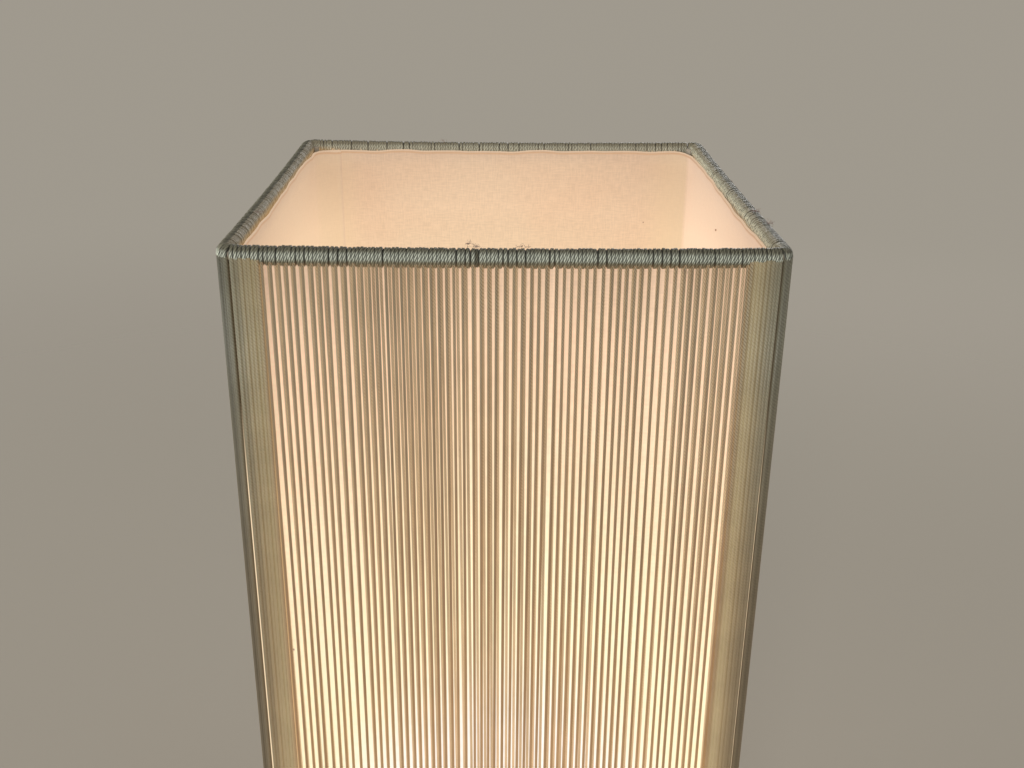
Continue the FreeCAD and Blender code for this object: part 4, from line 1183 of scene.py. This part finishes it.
holder = {
    "dome": [(5.05, 46), (8, 46), (8, 51)] + arcPoints(9, 62, 11, -90, 0, 24)[2:-1]
            + [(20, 62), (17.9, 62), (17.9, 68), (16.7, 68), (16.7, 60), (14.5, 60), (14.5, 57), (12.5, 55),
               (5.05, 55)],
    "barrel": [(20, 62), (20, 94), (18, 96), (15.4, 96), (14.4, 95), (14.4, 69), (18, 69), (18, 62)],
    "porcelain": [(0, 58), (13.9, 58), (13.9, 60), (16.6, 60), (16.6, 69), (13.85, 69), (13.85, 68), (0, 68)],
    "shell": [(11, 68), (13.75, 68), (13.75, 91.6), (14.1, 91.95), (14.1, 92.3), (13.35, 92.3), (13.35, 68.4),
              (11, 68.4)],
    "ribs": 20, "ribRadius": 0.8, "ribAt": 19.8, "ribSpan": (65.0, 83.0),
    "thread": (0.6, 3.629),                          # depth and pitch, shared with the bulb's cap
    "threadWithin": 12.6,
}


def ribTree(material, inputs):
    # Upright bars with round ends, set evenly round a barrel.
    t, given = newTree("gripRibs", "GeometryNodeTree", inputs, {"Mesh": "Geometry"})
    ball = t.put("GeometryNodeMeshUVSphere", {"Segments": 12, "Rings": 10, "Radius": given["Rib Radius"]})
    z = t.apart(t.here())[2]
    half = (given["High"] - given["Low"]) * 0.5 - given["Rib Radius"]
    rib = t.moved(ball, Offset=t.together(z=((abs(z) > 1e-6) * z).do("SIGN") * half))
    ring = t.put("GeometryNodeMeshCircle", {"Vertices": given["Count"], "Radius": given["Ring Radius"]})
    raised = t.moved(ring, Offset=t.together(z=(given["High"] + given["Low"]) * 0.5))
    return t.finishMesh(t.put("GeometryNodeInstanceOnPoints", {"Points": raised, "Instance": rib}), material)


def makeHolder():
    cream, brass = hardFinish("holderCream"), hardFinish("contactBrass")
    for part, node in (("dome", "lampholder_dome"), ("barrel", "lampholder_body")):
        turnedPiece("holder_" + part, holder[part], cream, "base", "holder_plastic", node, 96, ease=0.45, step=4.0)
    low, high = holder["ribSpan"]
    inputs = {"Count": holder["ribs"], "Rib Radius": holder["ribRadius"] / 1000,
              "Ring Radius": holder["ribAt"] / 1000, "Low": low / 1000, "High": high / 1000}
    addPiece("holder_ribs", grow("holder_ribs", ribTree(cream, inputs), inputs), cream, "base", "holder_plastic",
             smooth=50)
    turnedPiece("holder_porcelain", holder["porcelain"], hardFinish("porcelainGlaze"), "base", "porcelain",
                "lampholder_insert", ease=0.4)
    turnedPiece("lamp_shell", holder["shell"], brass, "base", "contact_brass", "screw_shell", ease=0.12, steps=1,
                step=0.35, smooth=60, press=screwPress(*holder["thread"], 70.0, 91.2, holder["threadWithin"]))
    for name, node, width in (("spring_contact", "centre_contact", 0.00008),
                              ("wire_screws", "terminal_screws", 0.00012)):
        addPiece(name, softened(name, node, width), brass, "base", "contact_brass", node)


# Bulb: frosted globe on a threaded cap, with its stem and four lit rods inside

bulb = {
    "tip": [(0, 71), (2.4, 71), (4.8, 72.4), (4.8, 72.8), (0, 72.8)],
    "insulator": [(0, 72.8), (6.5, 72.8), (10, 74.9), (12.05, 77), (0, 77)],
    "cap": [(6, 77), (12.05, 77), (13.05, 78), (13.05, 96.5), (12.65, 96.5), (12.65, 77.4), (6, 77.4)],
    "globe": 30.0, "globeAt": 148.0, "cone": 35.0, "neck": 13.6, "easing": 10.5, "tail": 12.3, "wall": 0.8,
    "stem": [(0, 89), (11.5, 89), (11.5, 90), (5, 95), (3, 107), (3, 123), (1.2, 124.6), (0, 125)],
    "rod": 0.0009, "rodFoot": (0.0075, 0.1155), "rodHead": (0.0042, 0.1500), "wire": 0.0003,
    "crown": 0.1504, "collar": 0.1153,
    "lightAt": (0.0, 0.0, 0.8 * 0.140), "squash": (1.0, 1.0, 0.8), "lightSpan": (0.024, 0.046),
    "light": ((0.70, 0.64, 0.51), (0.55, 0.42, 0.27)),          # near and far
    "frosted": (0.25, 0.24, 0.215), "clear": ((0.93, 0.95, 0.95), (0.98, 0.98, 0.97)),
    "amberLight": (1.0, 0.86, 0.50), "amber": ((0.60, 0.44, 0.16), (0.72, 0.55, 0.22)),
    "points": 0.0014,                                           # from one bright point of a rod to the next
}


def bulbOutline(inset):
    # From the crown down to the foot of the neck.
    cone = bulb["cone"]
    slope = math.radians(cone)
    globe, neck, easing = bulb["globe"] - inset, bulb["neck"] - inset, bulb["easing"] + inset
    sideR, sideZ = globe * math.cos(slope), bulb["globeAt"] - globe * math.sin(slope)
    drop = (sideR - neck - easing * (1 - math.cos(slope))) / math.tan(slope)
    neckTop, tail = sideZ - drop - easing * math.sin(slope), bulb["tail"] - inset
    return [(0.0, bulb["globeAt"] + globe)] + (
        arcPoints(0, bulb["globeAt"], globe, 90, -cone, 36)[1:]
        + arcPoints(neck + easing, neckTop, easing, 180 - cone, 180, 8)
        + [(neck, 99.4), (neck - 0.3, 98.3), (tail + 0.2, 97.6), (tail, 97.0), (tail, 88.0)])


def makeBulb():
    turnedPiece("solder_tip", bulb["tip"], hardFinish("contactBrass"), "bulb_end", "contact_brass",
                "bulb_contact_tip", 48, ease=0.5, step=1.2, smooth=50)
    turnedPiece("fused_insulator", bulb["insulator"], hardFinish("blackGlass"), "bulb_end", "cap_glass",
                "bulb_insulator", ease=0.5, step=2.0, smooth=50)
    turnedPiece("threaded_cap", bulb["cap"], hardFinish("capAluminium"), "bulb", "cap_metal", "bulb_cap", ease=0.12,
                steps=1, step=0.35, smooth=60, press=screwPress(*holder["thread"], 78.4, 94.6, holder["threadWithin"]))
    outline = bulbOutline(0.0) + list(reversed(bulbOutline(bulb["wall"])))
    addPiece("frosted_globe", lathed("frosted_globe", outline, 96), frostedMaterial(), "bulb", "bulb_glass",
             "bulb_glass", smooth=60)
    turnedPiece("glass_stem", bulb["stem"], stemMaterial(), "bulb", "stem_glass", "bulb_stem", 48, ease=1.2, steps=4,
                smooth=60)
    turns = [Matrix.Rotation(math.radians(45 + 90 * index), 3, "Z") for index in range(4)]
    (footR, footZ), (headR, headZ) = bulb["rodFoot"], bulb["rodHead"]
    foot, rise = Vector((footR, 0, footZ)), Vector((headR - footR, 0, headZ - footZ))
    lit = rods("lit_rods", [[turn @ (foot + rise * part / 12) for part in range(13)] for turn in turns],
               bulb["rod"], fineness=4)
    addPiece("lit_rods", lit, rodMaterial(), "bulb", "filament", "bulb_filaments", smooth=50)
    collar = bulb["collar"]
    arms = [[turn @ Vector(place) for place in ((0.0026, 0, collar - 0.001), (0.004, 0, collar),
                                                (footR - 0.0008, 0, collar), (footR, 0, footZ + 0.0004))]
            for turn in turns]
    crown = [[turns[0] @ Vector((headR * math.cos(a), headR * math.sin(a), bulb["crown"]))
              for a in (math.tau * step / 32 for step in range(33))]]
    addPiece("rod_wires", rods("rod_wires", arms + crown, bulb["wire"]), hardFinish("zincSteel"), "bulb", "filament",
             smooth=60)


def frostedMaterial():
    # Lit from inside: brightest round the rods, warmer and dimmer towards the neck.
    t = newMaterial("frostedGlass", Roughness=0.38, Alpha=0.72, Emission_Strength=1.0, Specular_IOR_Level=0.5)
    place = t.where()[0]
    frost, cloud = t.noise(place, 900.0, 3.0), t.noise(place, 60.0, 2.0)
    away = t.vector("DISTANCE", t.vector("MULTIPLY", place, bulb["squash"]), bulb["lightAt"])[1]
    warm = t.mix(t.remap(away, *bulb["lightSpan"], smooth=True), *bulb["light"])
    tone = t.remap(frost, 0.3, 0.7, 0.97, 1.03) * t.remap(cloud, 0.3, 0.7, 0.96, 1.03)
    return t.feed(Emission_Color=t.times(warm, tone), Base_Color=t.times(bulb["frosted"], tone),
                  Normal=t.bump(frost, 0.00002))


def stemMaterial():
    t = newMaterial("clearGlass", Transmission_Weight=1.0, IOR=1.5)
    waves = t.noise(t.where()[0], 260.0, 1.0)
    return t.feed(Roughness=t.remap(waves, 0.3, 0.7, 0.02, 0.08), Normal=t.bump(waves, 0.00015),
                  Base_Color=t.mix(waves, *bulb["clear"]))


def rodMaterial():
    # Coated rods: a row of bright points under an amber coat.
    t = newMaterial("amberRods", Roughness=0.5, Emission_Strength=1.0)
    place = t.where()[0]
    points = t.remap((t.apart(place)[2] * (math.tau / bulb["points"])).do("SINE"), -1.0, 1.0, 0.86, 1.0)
    coat = t.noise(place, 1500.0, 2.0)
    level = points * t.remap(coat, 0.3, 0.7, 0.95, 1.0)
    return t.feed(Emission_Color=t.times(bulb["amberLight"], level), Normal=t.bump(coat, 0.00003),
                  Base_Color=t.mix(coat, *bulb["amber"]))


# Wire frame inside the cords. The upper ring is bowed by their pull.

def makeFrame():
    wire = hardFinish("coatedWire")
    half, bend = lamp["ringHalf"], lamp["bend"]
    for node, level, sag in (("top_ring", lamp["topRing"], lamp["sag"]), ("bottom_ring", lamp["bottomRing"], 0.0)):
        path = []
        for quarter in range(4):
            turn = Matrix.Rotation(quarter * math.pi / 2, 3, "Z")
            straight = [(-(half - bend) + 2 * (half - bend) * step / 30, -half) for step in range(31)]
            arc = [(half - bend + bend * math.sin(a), -(half - bend) - bend * math.cos(a))
                   for a in (math.radians(15 * step) for step in range(1, 6))]
            for x, y in straight + arc:
                near = min(abs(x), abs(y)) / half
                path.append(turn @ Vector((x, y, level - sag * (1 - near ** 2))))
        name = node + "_wire"
        addPiece(name, rods(name, [path], lamp["wire"], closed=True), wire, "shade", "frame_wire", node, smooth=60)
    for place in ("front_left", "front_right", "back_left", "back_right"):
        low, high = (corner * 1000 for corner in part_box("corner_post_" + place))
        middle, radius = (low + high) / 2, (high.x - low.x) / 2
        turnedPiece("post_" + place, [(0, low.z), (radius, low.z), (radius, high.z), (0, high.z)], wire, "shade",
                    "frame_wire", "corner_post_" + place, 24, ease=0.6, step=30.0, smooth=60,
                    centre=(middle.x, middle.y))


# Lint and dust specks that have caught on the cords and the cloth

lint = {
    "seed": 5, "thick": 0.000045, "highest": 0.5022, "steps": 14,
    "tufts": [   # place, spread, length of a fibre and how many
        ((-0.0130, -0.0935, 0.50000), 0.0011, 0.0030, 12), ((-0.0102, -0.0945, 0.49915), 0.0010, 0.0026, 18),
        ((0.0050, -0.0945, 0.49925), 0.0010, 0.0024, 12), ((0.0078, -0.0945, 0.49915), 0.0007, 0.0018, 8),
        ((0.0620, -0.1001, 0.4925), 0.0010, 0.0020, 6), ((0.0974, -0.0430, 0.49955), 0.0012, 0.0026, 22),
        ((0.0984, -0.0600, 0.49905), 0.0016, 0.0030, 26), ((-0.0940, -0.0480, 0.49935), 0.0010, 0.0022, 10),
        ((-0.0300, 0.0965, 0.49985), 0.0018, 0.0026, 8), ((0.1001, 0.0300, 0.4950), 0.0016, 0.0026, 8),
    ],
    "specks": [((0.09215, 0.0077, 0.4786), 0.00036), ((0.0715, 0.09215, 0.4601), 0.00025),
               ((-0.0821, -0.0999, 0.3371), 0.00030)],
    "rough": 0.00006,        # of a speck
    "colours": ((0.17, 0.10, 0.085), (0.34, 0.25, 0.20)), "through": ((0.90, 0.50, 0.28), (1.0, 0.60, 0.36)),
}


def makeLint():
    chance = random.Random(lint["seed"])
    steps, paths = lint["steps"], []
    for place, spread, length, count in lint["tufts"]:
        for _fibre in range(count):
            point = Vector(place) + Vector([chance.uniform(-spread, spread), chance.uniform(-spread, spread) * 0.5, 0])
            start, curl, lift, bend = (chance.uniform(*span) for span in (
                (0, math.tau), (-5.0, 5.0), (-0.2, 0.9), (-2.5, 1.5)))
            path, reach = [], length * chance.uniform(0.5, 1.0)
            for step in range(steps):
                path.append(point.copy())
                turn, rise = start + curl * step / steps, lift + bend * step / steps
                point += Vector((math.cos(turn) * math.cos(rise), math.sin(turn) * math.cos(rise),
                                 math.sin(rise))) * reach / steps
                point.z = min(point.z, lint["highest"])
            paths.append(path)
    addPiece("lint", rods("lint", paths, lint["thick"], fineness=0), lintMaterial("brownLint", 0.0), "shade", "cord",
             smooth=80)
    shape = bmesh.new()
    for place, size in lint["specks"]:
        flat = Matrix.Translation(place) @ Matrix.Diagonal((size, size, size * 1.5, 1))
        bmesh.ops.create_icosphere(shape, subdivisions=2, radius=1.0, matrix=flat)
    for vertex in shape.verts:
        vertex.co += Vector([chance.uniform(-1, 1) for _axis in range(3)]) * lint["rough"]
    shape.transform(Matrix.Scale(1000.0, 4))
    addPiece("specks", finishShape(shape, "specks"), lintMaterial("paleCrumb", 0.20), "shade", "liner_cloth",
             smooth=80)


def lintMaterial(name, through):
    # through is the share of the cloth's light that comes through, painted as emission.
    t = newMaterial(name, Roughness=0.9, Specular_IOR_Level=0.2, Emission_Strength=through)
    shade = t.remap(t.noise(t.where()[0], 400.0, 1.0), 0.35, 0.65)
    return t.feed(Base_Color=t.mix(shade, *lint["colours"]), Emission_Color=t.mix(shade, *lint["through"]))


groups = {"plyTwist": plyTwistGroup(), "lampGlow": lampGlowGroup(), "patina": patinaGroup(),
          "latheMarks": latheMarksGroup()}
setCamera()
setStudio()
makeCords()
makeLiner()
makeFrame()
makePlinth()
makeFittings()
makeHolder()
makeBulb()
makeLint()
